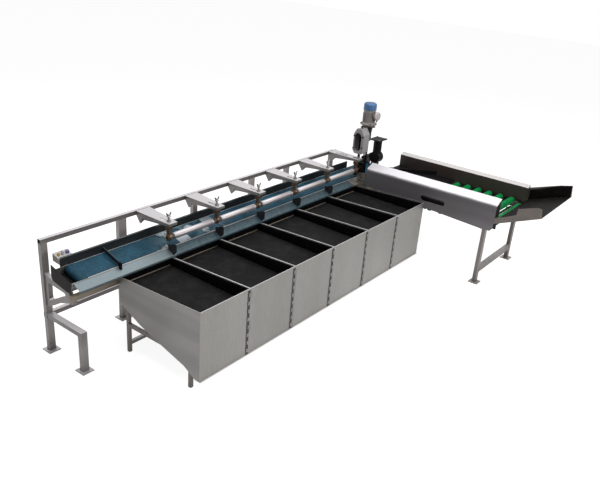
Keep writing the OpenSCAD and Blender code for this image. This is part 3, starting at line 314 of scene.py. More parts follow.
def steel(name, colour, top, metal, rough, stretch, band, scuff, marks=0.06):
    """Sheet or tube steel: drawn grain, slow bands, upper faces painted lighter as top light, and scuffed lower ends.
    """
    mat, t, xyz = start_material(name)
    grain = use_group(t, "grain", xyz, Stretch=stretch)
    cloud = use_group(t, "clouds", xyz, Scale=2.2, Fine=90.0)
    scuffs_and_top_light = use_group(t, "scuffs_and_top_light", xyz, Floor_Height=0.3)
    # Upward faces take the top colour: painted top light
    tone = layered(t, scaled(colour, 1 - band), (grain["Band"], 1.0, scaled(colour, 1 + band)),
                   (cloud["Wide"], 0.35, colour), (grain["Grain"], 0.18, scaled(colour, 0.72)),
                   (scuffs_and_top_light["Low"], scuff, (0.05, 0.045, 0.04)), (scuffs_and_top_light["Up"], 1.0, top))
    sheen = add(t, grain["Grain"], cloud["Fine"])
    return close_material(mat, tone, sheen, (0.2, 1.8, *rough), grain["Grain"], marks, 0.0006, Metallic=metal)


def coat(name, colour, other, rough=(0.4, 0.55), metal=0.1, shine=0.5, fine=220.0, peel=0.12, wide=3.0, mixed=0.5,
         gloss=0.0):
    """Paint or moulded plastic: slow drift between two tones, upper faces painted a little lighter as top light,
    orange-peel bump and uneven sheen.
    """
    mat, t, xyz = start_material(name)
    cloud = use_group(t, "clouds", xyz, Scale=wide, Fine=fine)
    scuffs_and_top_light = use_group(t, "scuffs_and_top_light", xyz, Floor_Height=0.2)
    # Upward faces are painted a little lighter: painted top light
    tone = layered(t, colour, (cloud["Wide"], mixed, other), (scuffs_and_top_light["Up"], 0.25, scaled(colour, 1.25, 0.02)))
    return close_material(mat, tone, cloud["Fine"], (0.0, 1.0, *rough), cloud["Fine"], peel, 0.0004,
                          Metallic=metal, Coat_Weight=gloss, Specular_IOR_Level=shine)


def soft_rubber(name, colour, dusty, scale, depth, dust, rough, shine):
    """Foam or rubber: small cells, a bloom of dust in clouds."""
    mat, t, xyz = start_material(name)
    cells = use_group(t, "cells", xyz, Scale=scale)
    fine = use_group(t, "clouds", xyz, Scale=5.0, Fine=130.0)["Fine"]
    tone = layered(t, colour, (cells["Dust"], dust, dusty), (cells["Cell"], 0.25, scaled(colour, 0.6)))
    return close_material(mat, tone, fine, (0.0, 1.0, *rough), cells["Cell"], depth, 0.0012, Specular_IOR_Level=shine)


def belt_finish(name):
    """Teal belt cloth: fine square weave, dark mottles, light wear, and in the first bays pale patches painted as
    reflections and white squares painted as highlights.
    """
    mat, t, xyz = start_material(name)
    turned = first(t, "ShaderNodeMapping", {"Vector": xyz, "Rotation": (-TILT, 0, 0)}, vector_type="POINT")
    run = use_group(t, "grain", turned, Stretch=(1.4, 16, 16))
    cloud = use_group(t, "clouds", turned, Scale=6.0, Fine=70.0)
    weave = larger(t, *(bands(t, turned, way, Scale=130.0) for way in "XY"))
    x = part(t, xyz, "X")
    highlight_bays = mul(t, ramp(t, x, -1.75, -1.45), ramp(t, x, -1.0, -0.7, 1.0, 0.0))
    mottle = ramp(t, noise(t, turned, 7.0, 6.0, 0.75), 0.48, 0.66)
    long_spots = noise(t, turned, 4.5, 4.0, 0.6)
    # Painted reflection: pale patches in the first bays stand in for the rollers' and arm's reflection on the belt; the
    # fine light wear elsewhere is real wear
    pale = mul(t, mul(t, highlight_bays, ramp(t, long_spots, 0.52, 0.42)), 0.45)
    wear_and_painted_light = larger(t, pale, ramp(t, cloud["Fine"], 0.62, 1.0, 0.0, 0.14))
    # Painted highlight: white squares in the first bays
    squares = put(t, "ShaderNodeTexChecker", {"Vector": turned}, Scale=7.3).outputs["Fac"]
    painted_highlight_squares = mul(t, mul(t, squares, ramp(t, long_spots, 0.50, 0.55)), highlight_bays)
    tone = layered(t, (0.006, 0.042, 0.074), (cloud["Wide"], 1.0, (0.012, 0.085, 0.140)),
                   (run["Band"], 0.35, (0.018, 0.095, 0.145)), (mottle, 0.6, (0.007, 0.026, 0.042)),
                   (wear_and_painted_light, 1.0, (0.20, 0.33, 0.38)), (painted_highlight_squares, 0.85, (0.62, 0.68, 0.72)))
    return close_material(mat, tone, cloud["Fine"], (0, 1, 0.42, 0.65), weave, 0.12, 0.0003, Specular_IOR_Level=0.18)


def carrier_green(name):
    """Moulded green plastic with fine turning rings and slow clouds."""
    mat, t, xyz = start_material(name)
    cloud = use_group(t, "clouds", xyz, Scale=9.0, Fine=180.0)
    rings = bands(t, xyz, "X", Scale=42.0, Distortion=1.5, Detail=2.0)
    tone = layered(t, (0.001, 0.20, 0.045), (cloud["Wide"], 1.0, (0.003, 0.33, 0.085)),
                   (cloud["Fine"], 0.2, (0.02, 0.12, 0.05)))
    return close_material(mat, tone, cloud["Fine"], (0, 1, 0.34, 0.52), rings, 0.15, 0.0005, Specular_IOR_Level=0.1)


# Colour, colour of upper faces painted as top light, metal, roughness, grain's stretch, band, scuff and bump
STEELS = {
    "bin_sheet": ((0.31, 0.30, 0.285), (0.70, 0.69, 0.68), 0.55, (0.4, 0.55), (12, 12, 1.0), 0.10, 0.12),
    "bin_edge": ((0.26, 0.25, 0.245), (0.74, 0.73, 0.72), 0.6, (0.3, 0.45), (40, 3, 40), 0.2, 0.1),
    "rim_bright": ((0.34, 0.33, 0.325), (0.66, 0.65, 0.64), 0.4, (0.36, 0.5), (30, 2, 30), 0.15, 0.0),
    "frame_tube": ((0.42, 0.39, 0.385), (0.70, 0.67, 0.70), 0.35, (0.36, 0.52), (30, 30, 2), 0.28, 0.6),
    "leg_tube": ((0.20, 0.18, 0.17), (0.45, 0.42, 0.41), 0.4, (0.36, 0.52), (30, 30, 2), 0.28, 0.6),
    "frame_rail": ((0.21, 0.195, 0.19), (0.74, 0.71, 0.74), 0.45, (0.36, 0.52), (2, 30, 30), 0.25, 0.5),
    "arm_plate": ((0.25, 0.235, 0.23), (0.65, 0.625, 0.645), 0.45, (0.34, 0.5), (30, 2, 30), 0.22, 0.3),
    "trough_sheet": ((0.24, 0.22, 0.20), (0.55, 0.54, 0.53), 0.45, (0.36, 0.5), (2, 30, 30), 0.2, 0.2),
    "guard_dark": ((0.018, 0.022, 0.024), (0.05, 0.06, 0.06), 0.3, (0.3, 0.45), (1.4, 30, 30), 0.3, 0.2),
    "apron_sheet": ((0.12, 0.165, 0.18), (0.21, 0.265, 0.285), 0.25, (0.42, 0.58), (3, 12, 12), 0.35, 0.1, 0.04),
    "roller_tube": ((0.42, 0.39, 0.40), (0.62, 0.585, 0.60), 0.5, (0.34, 0.48), (4, 30, 30), 0.15, 0.0, 0.05),
    "joint_iron": ((0.045, 0.038, 0.035), (0.13, 0.11, 0.10), 0.7, (0.36, 0.55), (10, 10, 10), 0.3, 0.2),
    "bearing_bronze": ((0.42, 0.19, 0.06), (0.62, 0.34, 0.14), 0.8, (0.3, 0.45), (20, 20, 20), 0.3, 0.1),
    "hanger_brown": ((0.14, 0.095, 0.06), (0.34, 0.27, 0.2), 0.55, (0.4, 0.6), (10, 10, 3), 0.35, 0.2),
    "zinc_screw": ((0.20, 0.19, 0.19), (0.44, 0.42, 0.42), 0.8, (0.28, 0.42), (10, 10, 10), 0.2, 0.1),
    "panel_grey": ((0.19, 0.18, 0.19), (0.80, 0.78, 0.81), 0.3, (0.32, 0.46), (40, 1.2, 30), 0.22, 0.2),
    # Far infeed panel: a dark brown copy of the panel colour, painted shade on its inner face
    "panel_brown": ((0.060, 0.045, 0.040), (0.66, 0.63, 0.62), 0.3, (0.34, 0.5), (40, 1.2, 30), 0.25, 0.2),
    "hopper_sheet": ((0.19, 0.165, 0.15), (0.38, 0.35, 0.33), 0.4, (0.36, 0.5), (2, 30, 30), 0.2, 0.2),
    "shaft_steel": ((0.26, 0.25, 0.25), (0.45, 0.44, 0.44), 0.9, (0.24, 0.36), (30, 4, 30), 0.15, 0.0),
    "brass_fitting": ((0.42, 0.28, 0.07), (0.62, 0.44, 0.14), 0.9, (0.25, 0.4), (20, 20, 20), 0.2, 0.0),
    # Near-black strip in each bin seam: painted shade of the seam's recess
    "seam_dark": ((0.055, 0.05, 0.045), (0.12, 0.11, 0.1), 0.5, (0.4, 0.6), (40, 40, 2), 0.3, 0.1),
    "joint_bright": ((0.22, 0.2, 0.19), (0.42, 0.39, 0.37), 0.8, (0.28, 0.42), (10, 10, 10), 0.25, 0.1),
    "chain_black": ((0.035, 0.031, 0.029), (0.10, 0.09, 0.085), 0.8, (0.3, 0.5), (20, 20, 20), 0.3, 0.1),
    "weld_grey": ((0.16, 0.15, 0.145), (0.42, 0.40, 0.40), 0.55, (0.35, 0.55), (30, 30, 30), 0.3, 0.3),
}
# Two colours, roughness, metal, shine, fine scale, peel, wide scale, share of the second colour, gloss
COATS = {
    "rail_beige": ((0.50, 0.42, 0.33), (0.36, 0.30, 0.24), (0.4, 0.6)),
    # Near-black coat; on the belt drums it is painted shade of the belt's wrap round them
    "plate_black": ((0.006, 0.005, 0.006), (0.014, 0.012, 0.012), (0.5, 0.65), 0.1, 0.15),
    "cover_paint": ((0.40, 0.38, 0.385), (0.30, 0.285, 0.29)),
    "motor_grey": ((0.32, 0.29, 0.28), (0.22, 0.20, 0.19), (0.4, 0.55), 0.2),
    "motor_pale": ((0.68, 0.63, 0.62), (0.58, 0.53, 0.52)),
    "fan_blue": ((0.035, 0.13, 0.32), (0.06, 0.20, 0.42), (0.3, 0.45), 0.1, 0.5, 150.0, 0.1, 8.0, 0.6, 0.2),
    "reducer_grey": ((0.05, 0.045, 0.045), (0.10, 0.09, 0.085), (0.4, 0.6), 0.3),
    "gear_blue": ((0.03, 0.07, 0.13), (0.05, 0.10, 0.18), (0.35, 0.5), 0.2),
    "cap_white": ((0.72, 0.71, 0.74), (0.6, 0.59, 0.62), (0.4, 0.55), 0.0),
    "knob_violet": ((0.18, 0.16, 0.36), (0.26, 0.24, 0.44), (0.3, 0.45), 0.0),
}
# Colour, dust's colour, cell scale, bump, share of dust, roughness, shine
RUBBERS = {
    "foam_black": ((0.0025, 0.0025, 0.003), (0.010, 0.009, 0.009), 240.0, 0.5, 0.6, (0.6, 0.85), 0.04),
    # Same foam as foam_black, painted lighter on the bin floors as top light
    "foam_floor": ((0.010, 0.010, 0.011), (0.030, 0.028, 0.028), 240.0, 0.5, 0.8, (0.6, 0.85), 0.1),
    "rubber_black": ((0.004, 0.004, 0.005), (0.013, 0.012, 0.013), 500.0, 0.12, 0.4, (0.5, 0.7), 0.08),
    "fin_grey": ((0.028, 0.027, 0.033), (0.075, 0.070, 0.080), 300.0, 0.15, 0.6, (0.5, 0.7), 0.2),
    "rubber_brown": ((0.004, 0.003, 0.003), (0.020, 0.015, 0.013), 320.0, 0.2, 0.7, (0.5, 0.7), 0.08),
}
FINISH = {name: make(name, *row) for make, table in ((steel, STEELS), (coat, COATS), (soft_rubber, RUBBERS))
          for name, row in table.items()}
FINISH.update(belt_teal=belt_finish("belt_teal"), carrier_green=carrier_green("carrier_green"))


def lay_other_tone(finish, axis, edge, colour, scuffed=0.25, share=1.0):
    """Past the given place along X or Y the sheet has another tone, broken by scuffs."""
    t = FINISH[finish].node_tree
    base = t.nodes["Principled BSDF"].inputs["Base Color"]
    xyz = put(t, "ShaderNodeTexCoord").outputs["Object"]
    scuffs = ramp(t, noise(t, xyz, 24.0, 5.0, 0.7), 0.42, 0.66)
    wear_and_painted_light = blend_colour(t, scuffs, colour, scaled(colour, scuffed))
    past = ramp(t, part(t, xyz, axis), edge, edge + 0.01)
    feed(t, base, layered(t, base.links[0].from_socket, (past, share, wear_and_painted_light)))


# The apron's darker teal from the first roller on is painted shade of the rollers and arms above it
lay_other_tone("apron_sheet", "X", -1.50, (0.042, 0.090, 0.115), 0.35, 0.85)
lay_other_tone("apron_sheet", "X", 1.36, (0.30, 0.27, 0.24))
lay_other_tone("panel_grey", "Y", 0.754, (0.26, 0.235, 0.21))

WORN_BY = {
    "bin_sheet": "bin_fronts", "bin_edge": "bin_dividers bin_floor", "rail_beige": "bin_back front_rail",
    "foam_black": "bin_linings", "leg_tube": "bin_stand infeed_legs", "frame_tube": "posts",
    "frame_rail": "stand_rail top_beam lower_rail", "arm_plate": "outriggers trough_brackets arms drive_arm",
    "trough_sheet": "slider_bed take_up", "belt_teal": "belt", "guard_dark": "back_guard stop_plate",
    # The drums take the near-black coat as painted shade of the belt's wrap round them
    "plate_black": "tail_drum drive_drum drum_plates drive_bracket belt_gearmotor", "apron_sheet": "apron",
    "fin_grey": "divider_fins", "rubber_black": "stop_rubber transfer_chute", "hanger_brown": "hangers",
    "bearing_bronze": "bearing_units", "cover_paint": "drive_cover", "motor_grey": "drive_motor",
    "joint_iron": "roller_joints top_sprocket low_sprocket drive_chain carrier_chains", "fan_blue": "fan_cover",
    # The far infeed panel takes the dark copy painted as shade on its inner face
    "reducer_grey": "reducer", "panel_grey": "infeed_panel_near", "panel_brown": "infeed_panel_far",
    "carrier_green": "carrier_rollers", "shaft_steel": "head_shaft tail_shaft", "hopper_sheet": "hopper",
    "rubber_brown": "hopper_pads", "gear_blue": "infeed_gearmotor",
    "roller_tube": "roller_1 roller_2 roller_3 roller_4 roller_5",
    "zinc_screw": "wing_screw_1 wing_screw_2 wing_screw_3 wing_screw_4 wing_screw_5",
}


def dress_nodes():
    for finish, names in WORN_BY.items():
        for name in names.split():
            materials = nodes[name].data.materials
            materials.clear()
            materials.append(FINISH[finish])


# Building small parts in layout millimetres


def keep_piece(name, mesh, finish, body, stands_for=(), slot=None, smooth=38):
    """Object for a finished mesh: one finish, smooth up to that angle, riding on its body."""
    piece = into_scene(bpy.data.objects.new(name, mesh))
    mesh.name = name
    mesh.materials.clear()
    mesh.materials.append(FINISH[finish])
    mesh.shade_smooth()
    mesh.set_sharp_from_angle(angle=math.radians(smooth))
    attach(piece, body)
    if stands_for:
        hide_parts(*stands_for)
    return piece


def close_piece(name, bm, finish, body, turn_out=True, **more):
    """Piece from a bmesh, with its faces turned outwards."""
    if turn_out:
        bmesh.ops.recalc_face_normals(bm, faces=bm.faces)
    mesh = bpy.data.meshes.new(name)
    bm.to_mesh(mesh)
    bm.free()
    return keep_piece(name, mesh, finish, body, **more)


def soften_edges(piece, width, steps=2, angle=35):
    """Live bevel on the sharper edges; width in millimetres."""
    b = piece.modifiers.new("soft_edges", "BEVEL")
    b.width = width / 1000
    b.segments = steps
    b.limit_method = "ANGLE"
    b.angle_limit = math.radians(angle)


def rounded_copy(node, finish, body, width, **more):
    """The CAD piece again with its facets merged and its edges eased by width millimetres."""
    bm = bmesh.new()
    bm.from_mesh(nodes[node].data)
    bmesh.ops.remove_doubles(bm, verts=bm.verts, dist=2e-5)
    bmesh.ops.dissolve_limit(bm, angle_limit=math.radians(0.6), verts=bm.verts, edges=bm.edges)
    piece = close_piece(node + "_eased", bm, finish, body, turn_out=False, stands_for=(node,), **more)
    soften_edges(piece, width, angle=30)


def skin(bm, loops, ring=False):
    """Faces between neighbouring loops, where a loop of one is a pole; open ends get a face each."""
    for a, b in zip(loops, loops[1:] + (loops[:1] if ring else [])):
        count = max(len(a), len(b))
        for i in range(count):
            j = (i + 1) % count
            low = [a[0]] if len(a) == 1 else [a[i], a[j]]
            bm.faces.new(low + ([b[0]] if len(b) == 1 else [b[j], b[i]]))
    for end in () if ring else (loops[0][::-1], loops[-1]):
        if len(end) > 1:
            bm.faces.new(end)


def add_box(bm, a, b):
    lo, hi = at(*a), at(*b)
    bmesh.ops.create_cube(bm, size=1, matrix=Matrix.Translation((lo + hi) / 2) @ Matrix.Diagonal((*(hi - lo), 1)))


def add_prism(bm, outline, axis, s1, s2):
    """Closed outline in the plane square to the axis, drawn out from s1 to s2."""
    order = {"x": (2, 0, 1), "y": (0, 2, 1), "z": (0, 1, 2)}[axis]
    skin(bm, [[bm.verts.new(at(*((a, b, s)[k] for k in order))) for a, b in outline] for s in (s1, s2)])


def add_turned(bm, profile, centre, axis, count=32, ring=False):
    """Profile of (radius, distance along) turned round an axis; a ring's profile closes on itself."""
    axis = axis.normalized()
    side = axis.orthogonal().normalized()
    up = axis.cross(side)
    skin(bm, [[bm.verts.new(at(*centre) + (axis * s + side * a + up * b) / 1000)
               for a, b in ([(0, 0)] if r < 1e-6 else circle(count, r))] for r, s in profile], ring)


def add_rod(bm, path, radius, count):
    """Round rod of that radius in millimetres along frame points, with flat ends."""
    side = (path[1] - path[0]).orthogonal().normalized()
    loops = []
    for i, p in enumerate(path):
        run = (path[min(i + 1, len(path) - 1)] - path[max(i - 1, 0)]).normalized()
        side = (side - run * side.dot(run)).normalized()
        up = run.cross(side)
        loops.append([bm.verts.new(p + (side * a + up * b) / 1000) for a, b in circle(count, radius)])
    skin(bm, loops)


# Geometry node trees for what repeats


def shape_tree(name, **sizes):
    return new_tree("GeometryNodeTree", name, "Geometry", ("Geometry",), {**sizes, "Finish": None})


def vector_of(g, x=0.0, y=0.0, z=0.0):
    return first(g, "ShaderNodeCombineXYZ", {0: x, 1: y, 2: z})


def moved(g, geometry, turn=(0, 0, 0), **offset):
    """Geometry moved by an offset along x, y and z, which may be sockets, and turned by fixed angles."""
    place = {"Geometry": geometry, "Translation": vector_of(g, **offset), "Rotation": turn}
    return first(g, "GeometryNodeTransform", place)


def drum(g, count, radius, depth):
    """Cylinder on Z whose radius and depth are sockets or numbers."""
    return first(g, "GeometryNodeMeshCylinder", {"Radius": radius, "Depth": depth}, Vertices=count)


def block(g, size):
    return first(g, "GeometryNodeMeshCube", {"Size": size})


def joined(g, *parts):
    n = put(g, "GeometryNodeJoinGeometry")
    for p in reversed(parts):
        g.links.new(p, n.inputs["Geometry"])
    return n.outputs["Geometry"]


def index(g):
    return first(g, "GeometryNodeInputIndex")


def turned_by(g, angles):
    return first(g, "FunctionNodeEulerToRotation", {0: angles})


def own_turn(g):
    """Turn that each seed point brings with it."""
    label = put(g, "GeometryNodeInputNamedAttribute", data_type="FLOAT_VECTOR", Name="turn")
    return turned_by(g, label.outputs["Attribute"])


def set_on(g, points, instance, **how):
    """The instance at each point; Rotation and Scale come as sockets."""
    return first(g, "GeometryNodeInstanceOnPoints", {"Points": points, "Instance": instance, **how})


def evenly(g, edges, mode, **spacing):
    """Points set evenly along the edges, by Count or by Length."""
    path = first(g, "GeometryNodeMeshToCurve", {"Mesh": edges})
    return first(g, "GeometryNodeResampleCurve", {"Curve": path, **spacing}, mode=mode)


def finish_tree(g, i, o, geometry):
    real = first(g, "GeometryNodeRealizeInstances", {"Geometry": geometry})
    feed(g, o["Geometry"], first(g, "GeometryNodeSetMaterial", {"Geometry": real, "Material": i["Finish"]}))
    return g


def bolt_tree():
    """Hex head on a washer at each point, its foot square to the point's turn."""
    g, i, o = shape_tree("bolt_heads", Across=0.013, Head=0.007, Washer=0.012, Thick=0.002)
    across, head, thick = i["Across"], i["Head"], i["Thick"]
    hexagon = moved(g, drum(g, 6, mul(g, across, 0.577), head), z=add(g, thick, mul(g, head, 0.5)))
    washer = moved(g, drum(g, 16, i["Washer"], thick), z=mul(g, thick, 0.5))
    shares = {"Radius Top": 0.34, "Radius Bottom": 0.49, "Depth": 0.09}
    crown = first(g, "GeometryNodeMeshCone", {k: mul(g, across, share) for k, share in shares.items()}, Vertices=12)
    head_on = joined(g, hexagon, washer, moved(g, crown, z=add(g, thick, head)))
    return finish_tree(g, i, o, set_on(g, i["Geometry"], head_on, Rotation=own_turn(g)))


def link_tree():
    """Roller chain round the given loop of edges: plates in turn inside and outside, a roller at each pin."""
    g, i, o = shape_tree("chain_links", Links=72, Pitch=0.0149, Plate=0.012, Wide=0.014, Thick=0.0016, Roller=0.0042)
    wide, thick, roller, half = i["Wide"], i["Thick"], i["Roller"], mul(g, i["Pitch"], 0.5)
    ends = [moved(g, drum(g, 10, mul(g, i["Plate"], 0.5), thick), x=x) for x in (half, mul(g, half, -1.0))]
    plate = first(g, "GeometryNodeConvexHull", {"Geometry": joined(g, *ends)})
    side = mul(g, sub(g, wide, thick), 0.5)
    link = joined(g, moved(g, plate, z=side), moved(g, plate, z=mul(g, side, -1.0)),
                  moved(g, drum(g, 10, roller, mul(g, wide, 0.7)), x=half),
                  moved(g, drum(g, 8, mul(g, roller, 0.55), mul(g, wide, 1.12)), x=half))
    run = first(g, "GeometryNodeInputTangent")
    along = first(g, "FunctionNodeAlignRotationToVector", {"Vector": run}, axis="X")
    flat = first(g, "FunctionNodeAlignRotationToVector", {"Rotation": along, "Vector": (1, 0, 0)},
                 axis="Z", pivot_axis="X")
    narrow = sub(g, 1.0, mul(g, remainder(g, index(g), 2.0), 0.24))
    even = evenly(g, i["Geometry"], "COUNT", Count=i["Links"])
    return finish_tree(g, i, o, set_on(g, even, link, Rotation=flat, Scale=vector_of(g, 1.0, 1.0, narrow)))


def seam_tree():
    """Tabs up each bin seam: plates bridging the gap, with a round stud on each."""
    g, i, o = shape_tree("seam_tabs", Tabs=8, Step=0.078, Tab=(0.026, 0.003, 0.030), Stud=0.0045)
    stud = moved(g, drum(g, 10, i["Stud"], 0.003), (math.pi / 2, 0, 0), y=-0.0025)
    line = first(g, "GeometryNodeMeshLine", {"Count": i["Tabs"], "Offset": vector_of(g, z=i["Step"])})
    lean = mul(g, sub(g, remainder(g, index(g), 2.0), 0.5), 0.006)
    shifted = first(g, "GeometryNodeSetPosition", {"Geometry": line, "Offset": vector_of(g, x=lean)})
    column = set_on(g, shifted, joined(g, block(g, i["Tab"]), stud))
    return finish_tree(g, i, o, set_on(g, i["Geometry"], column))


def barrel_tree():
    """Green carrier roller: a turned drum whose radius swells and narrows by a rule along its length."""
    g, i, o = shape_tree("carrier_barrels", Radius=0.040, Length=0.76, Swell=0.004, Step=0.063, Slices=96)
    plain = first(g, "GeometryNodeMeshCylinder",
                  {"Side Segments": i["Slices"], "Radius": i["Radius"], "Depth": i["Length"]}, Vertices=20)
    place = first(g, "GeometryNodeInputPosition")
    wave = sine(g, mul(g, div(g, part(g, place, "Z"), i["Step"]), 2 * math.pi))
    drop = div(g, mul(g, sub(g, 1.0, power(g, size_of(g, wave), 0.55)), i["Swell"]), i["Radius"])
    keep = sub(g, 1.0, drop)
    drawn_in = first(g, "ShaderNodeVectorMath", {0: place, 1: vector_of(g, keep, keep, 1.0)}, operation="MULTIPLY")
    shaped = first(g, "GeometryNodeSetPosition", {"Geometry": plain, "Position": drawn_in})
    core = drum(g, 16, 0.006, add(g, i["Length"], 0.019))
    lying = moved(g, joined(g, shaped, core), (0, math.pi / 2, 0))
    return finish_tree(g, i, o, set_on(g, i["Geometry"], lying))


def spoke_tree():
    """The same bar set evenly round an axis through each point, which the point's turn lays over."""
    g, i, o = shape_tree("spoked_bars", Bars=24, Inner=0.06, Bar=(0.012, 0.003, 0.1))
    bar = moved(g, block(g, i["Bar"]), x=add(g, i["Inner"], mul(g, part(g, i["Bar"], "X"), 0.5)))
    line = first(g, "GeometryNodeMeshLine", {"Count": i["Bars"], "Offset": (0, 0, 0)})
    angle = mul(g, div(g, index(g), i["Bars"]), 2 * math.pi)
    ring = set_on(g, line, bar, Rotation=turned_by(g, vector_of(g, z=angle)))
    return finish_tree(g, i, o, set_on(g, i["Geometry"], ring, Rotation=own_turn(g)))


def bead_tree():
    """Weld bead: small overlapping scales along the given edges, each a little different, from a fixed seed."""
    g, i, o = shape_tree("weld_beads", Step=0.005, Bead=0.004, Seed=7)
    even = evenly(g, i["Geometry"], "LENGTH", Length=i["Step"])
    uneven = {0: (0.8, 0.8, 0.8), 1: (1.2, 1.2, 1.15), "Seed": i["Seed"]}
    scale = first(g, "FunctionNodeRandomValue", uneven, data_type="FLOAT_VECTOR")
    ball = first(g, "GeometryNodeMeshIcoSphere", {"Radius": i["Bead"]}, Subdivisions=1)
    return finish_tree(g, i, o, set_on(g, even, ball, Scale=scale))


TREES = {"bolts": bolt_tree(), "links": link_tree(), "tabs": seam_tree(), "barrels": barrel_tree(),
         "spokes": spoke_tree(), "beads": bead_tree()}


def grow(name, tree, seeds, finish, body, edges=(), stands_for=(), slot=None, smooth=38, **sizes):
    """Runs a tree on seed points, given as (place, direction the Z axis turns to), and keeps the plain mesh."""
    seeds = [s if isinstance(s, tuple) else (s, UP) for s in seeds]
    mesh = bpy.data.meshes.new(name + "_seed")
    mesh.from_pydata([place for place, _ in seeds], edges, [])
    turn = mesh.attributes.new("turn", "FLOAT_VECTOR", "POINT")
    for k, (_, way) in enumerate(seeds):
        turn.data[k].vector = way.to_track_quat("Z", "Y").to_euler()
    seed = into_scene(bpy.data.objects.new(name + "_seed", mesh))
    mod = seed.modifiers.new("grow", "NODES")
    mod.node_group = TREES[tree]
    sizes["Finish"] = FINISH[finish]
    for item in TREES[tree].interface.items_tree:
        if item.in_out == "INPUT" and item.name in sizes:
            mod[item.identifier] = sizes[item.name]
    made = bpy.data.meshes.new_from_object(seed.evaluated_get(bpy.context.evaluated_depsgraph_get()))
    seed.modifiers.clear()
    bpy.data.objects.remove(seed)
    bpy.data.meshes.remove(mesh)
    if "turn" in made.attributes:
        made.attributes.remove(made.attributes["turn"])
    return keep_piece(name, made, finish, body, stands_for=stands_for, slot=slot, smooth=smooth)


def grow_chain(name, ends, radius, x, body, stands_for, **sizes):
    """Roller chain round two centres (y, z) in the plane at x."""
    (ay, az), (by, bz) = ends
    base, steps = math.atan2(bz - az, by - ay), 12
    path = [at(x, y + radius * math.cos(t), z + radius * math.sin(t))
            for y, z, start in ((by, bz, base - math.pi / 2), (ay, az, base + math.pi / 2))
            for t in (start + math.pi * k / steps for k in range(steps + 1))]
    ring = [(k, (k + 1) % len(path)) for k in range(len(path))]
    grow(name, "links", path, "chain_black", body, ring, stands_for, "joint_steel", **sizes)


# Bins: seams, rims, foam linings


def bed_z(y):
    """Upper face of the bin's steel tray at a depth y from the front."""
    return BIN_TOP - BED_UNDER_FRONT - FOAM + BED_SLOPE * y


def wall_top(y):
    return BIN_TOP + (BIN_BACK_TOP - BIN_TOP) * y / BIN_DEPTH


def make_bin_seams():
    """Dark strip painted as the shade in the seam's recess, folded edge and tabs where two front sheets meet."""
    strip, fold = bmesh.new(), bmesh.new()
    low = BIN_LOW + 5
    for x in range(PITCH, 6 * PITCH, PITCH):
        add_box(strip, (x - 26, -4.2, low), (x + 1, -2.6, BIN_TOP - 13))
        edge = ((1, -3), (1, -8), (4, -9.5), (25, -8), (28, -3))
        add_prism(fold, [(x + a, y) for a, y in edge], "z", low, BIN_TOP - 14)
    close_piece("seam_shade_strips", strip, "seam_dark", "frame")
    soften_edges(close_piece("seam_folds", fold, "bin_edge", "frame"), 1.2)
    grow("seam_tabs", "tabs", [at(i * PITCH - 6, -6.4, BIN_LOW + 42) for i in range(1, 6)], "bin_edge", "frame",
         Tabs=8, Step=0.0765, Tab=(0.026, 0.0036, 0.030), Stud=0.005)


def make_divider_caps():
    """Folded bright rim along the top of each divider."""
    bm = bmesh.new()
    front, back, half, lip, skirt = 2, BIN_DEPTH - 5, 5.5, 1.2, -9
    for x in (i * PITCH + 1.5 for i in range(1, 6)):
        for low, high, x1, x2 in ((0.2, 1.2, x - half, x + half), (skirt, 0.3, x - half, x - half + lip),
                                  (skirt, 0.3, x + half - lip, x + half)):
            corners = ((front, low), (back, low), (back, high), (front, high))
            add_prism(bm, [(y, wall_top(y) + h) for y, h in corners], "x", x1, x2)
    close_piece("divider_caps", bm, "rim_bright", "frame")


def foam_sheet(bm, spot, out, nu, nv, thick, rim, puff, seed):
    """Closed foam sheet: spot(u, v) lies on the wall in frame metres, out is the way off it."""
    waves = np.random.default_rng(seed).uniform(-1, 1, (nv + 1, nu + 1))
    front, back = [], []
    for j in range(nv + 1):
        for i in range(nu + 1):
            u, v = i / nu, j / nv
            edge = min(1.0, min(u, 1 - u, v, 1 - v) / rim)
            lift = thick * (0.45 + 0.55 * math.sqrt(1 - (1 - edge) ** 2)) + puff * waves[j, i] * edge
            front.append(bm.verts.new(spot(u, v) + out * lift))
            back.append(bm.verts.new(spot(u, v) + out * 0.0002))
    row, last = nu + 1, nv * (nu + 1)
    for k in (j * row + i for j in range(nv) for i in range(nu)):
        corners = (k, k + 1, k + row + 1, k + row)
        bm.faces.new([front[c] for c in corners])
        bm.faces.new([back[c] for c in (corners[0], *corners[:0:-1])])
    line = [*range(nu), *range(nu, last + nu, row), *range(last + nu, last, -1), *range(last, 0, -row)]
    for a, b in zip(line, line[1:] + line[:1]):
        bm.faces.new((front[a], back[a], back[b], front[b]))


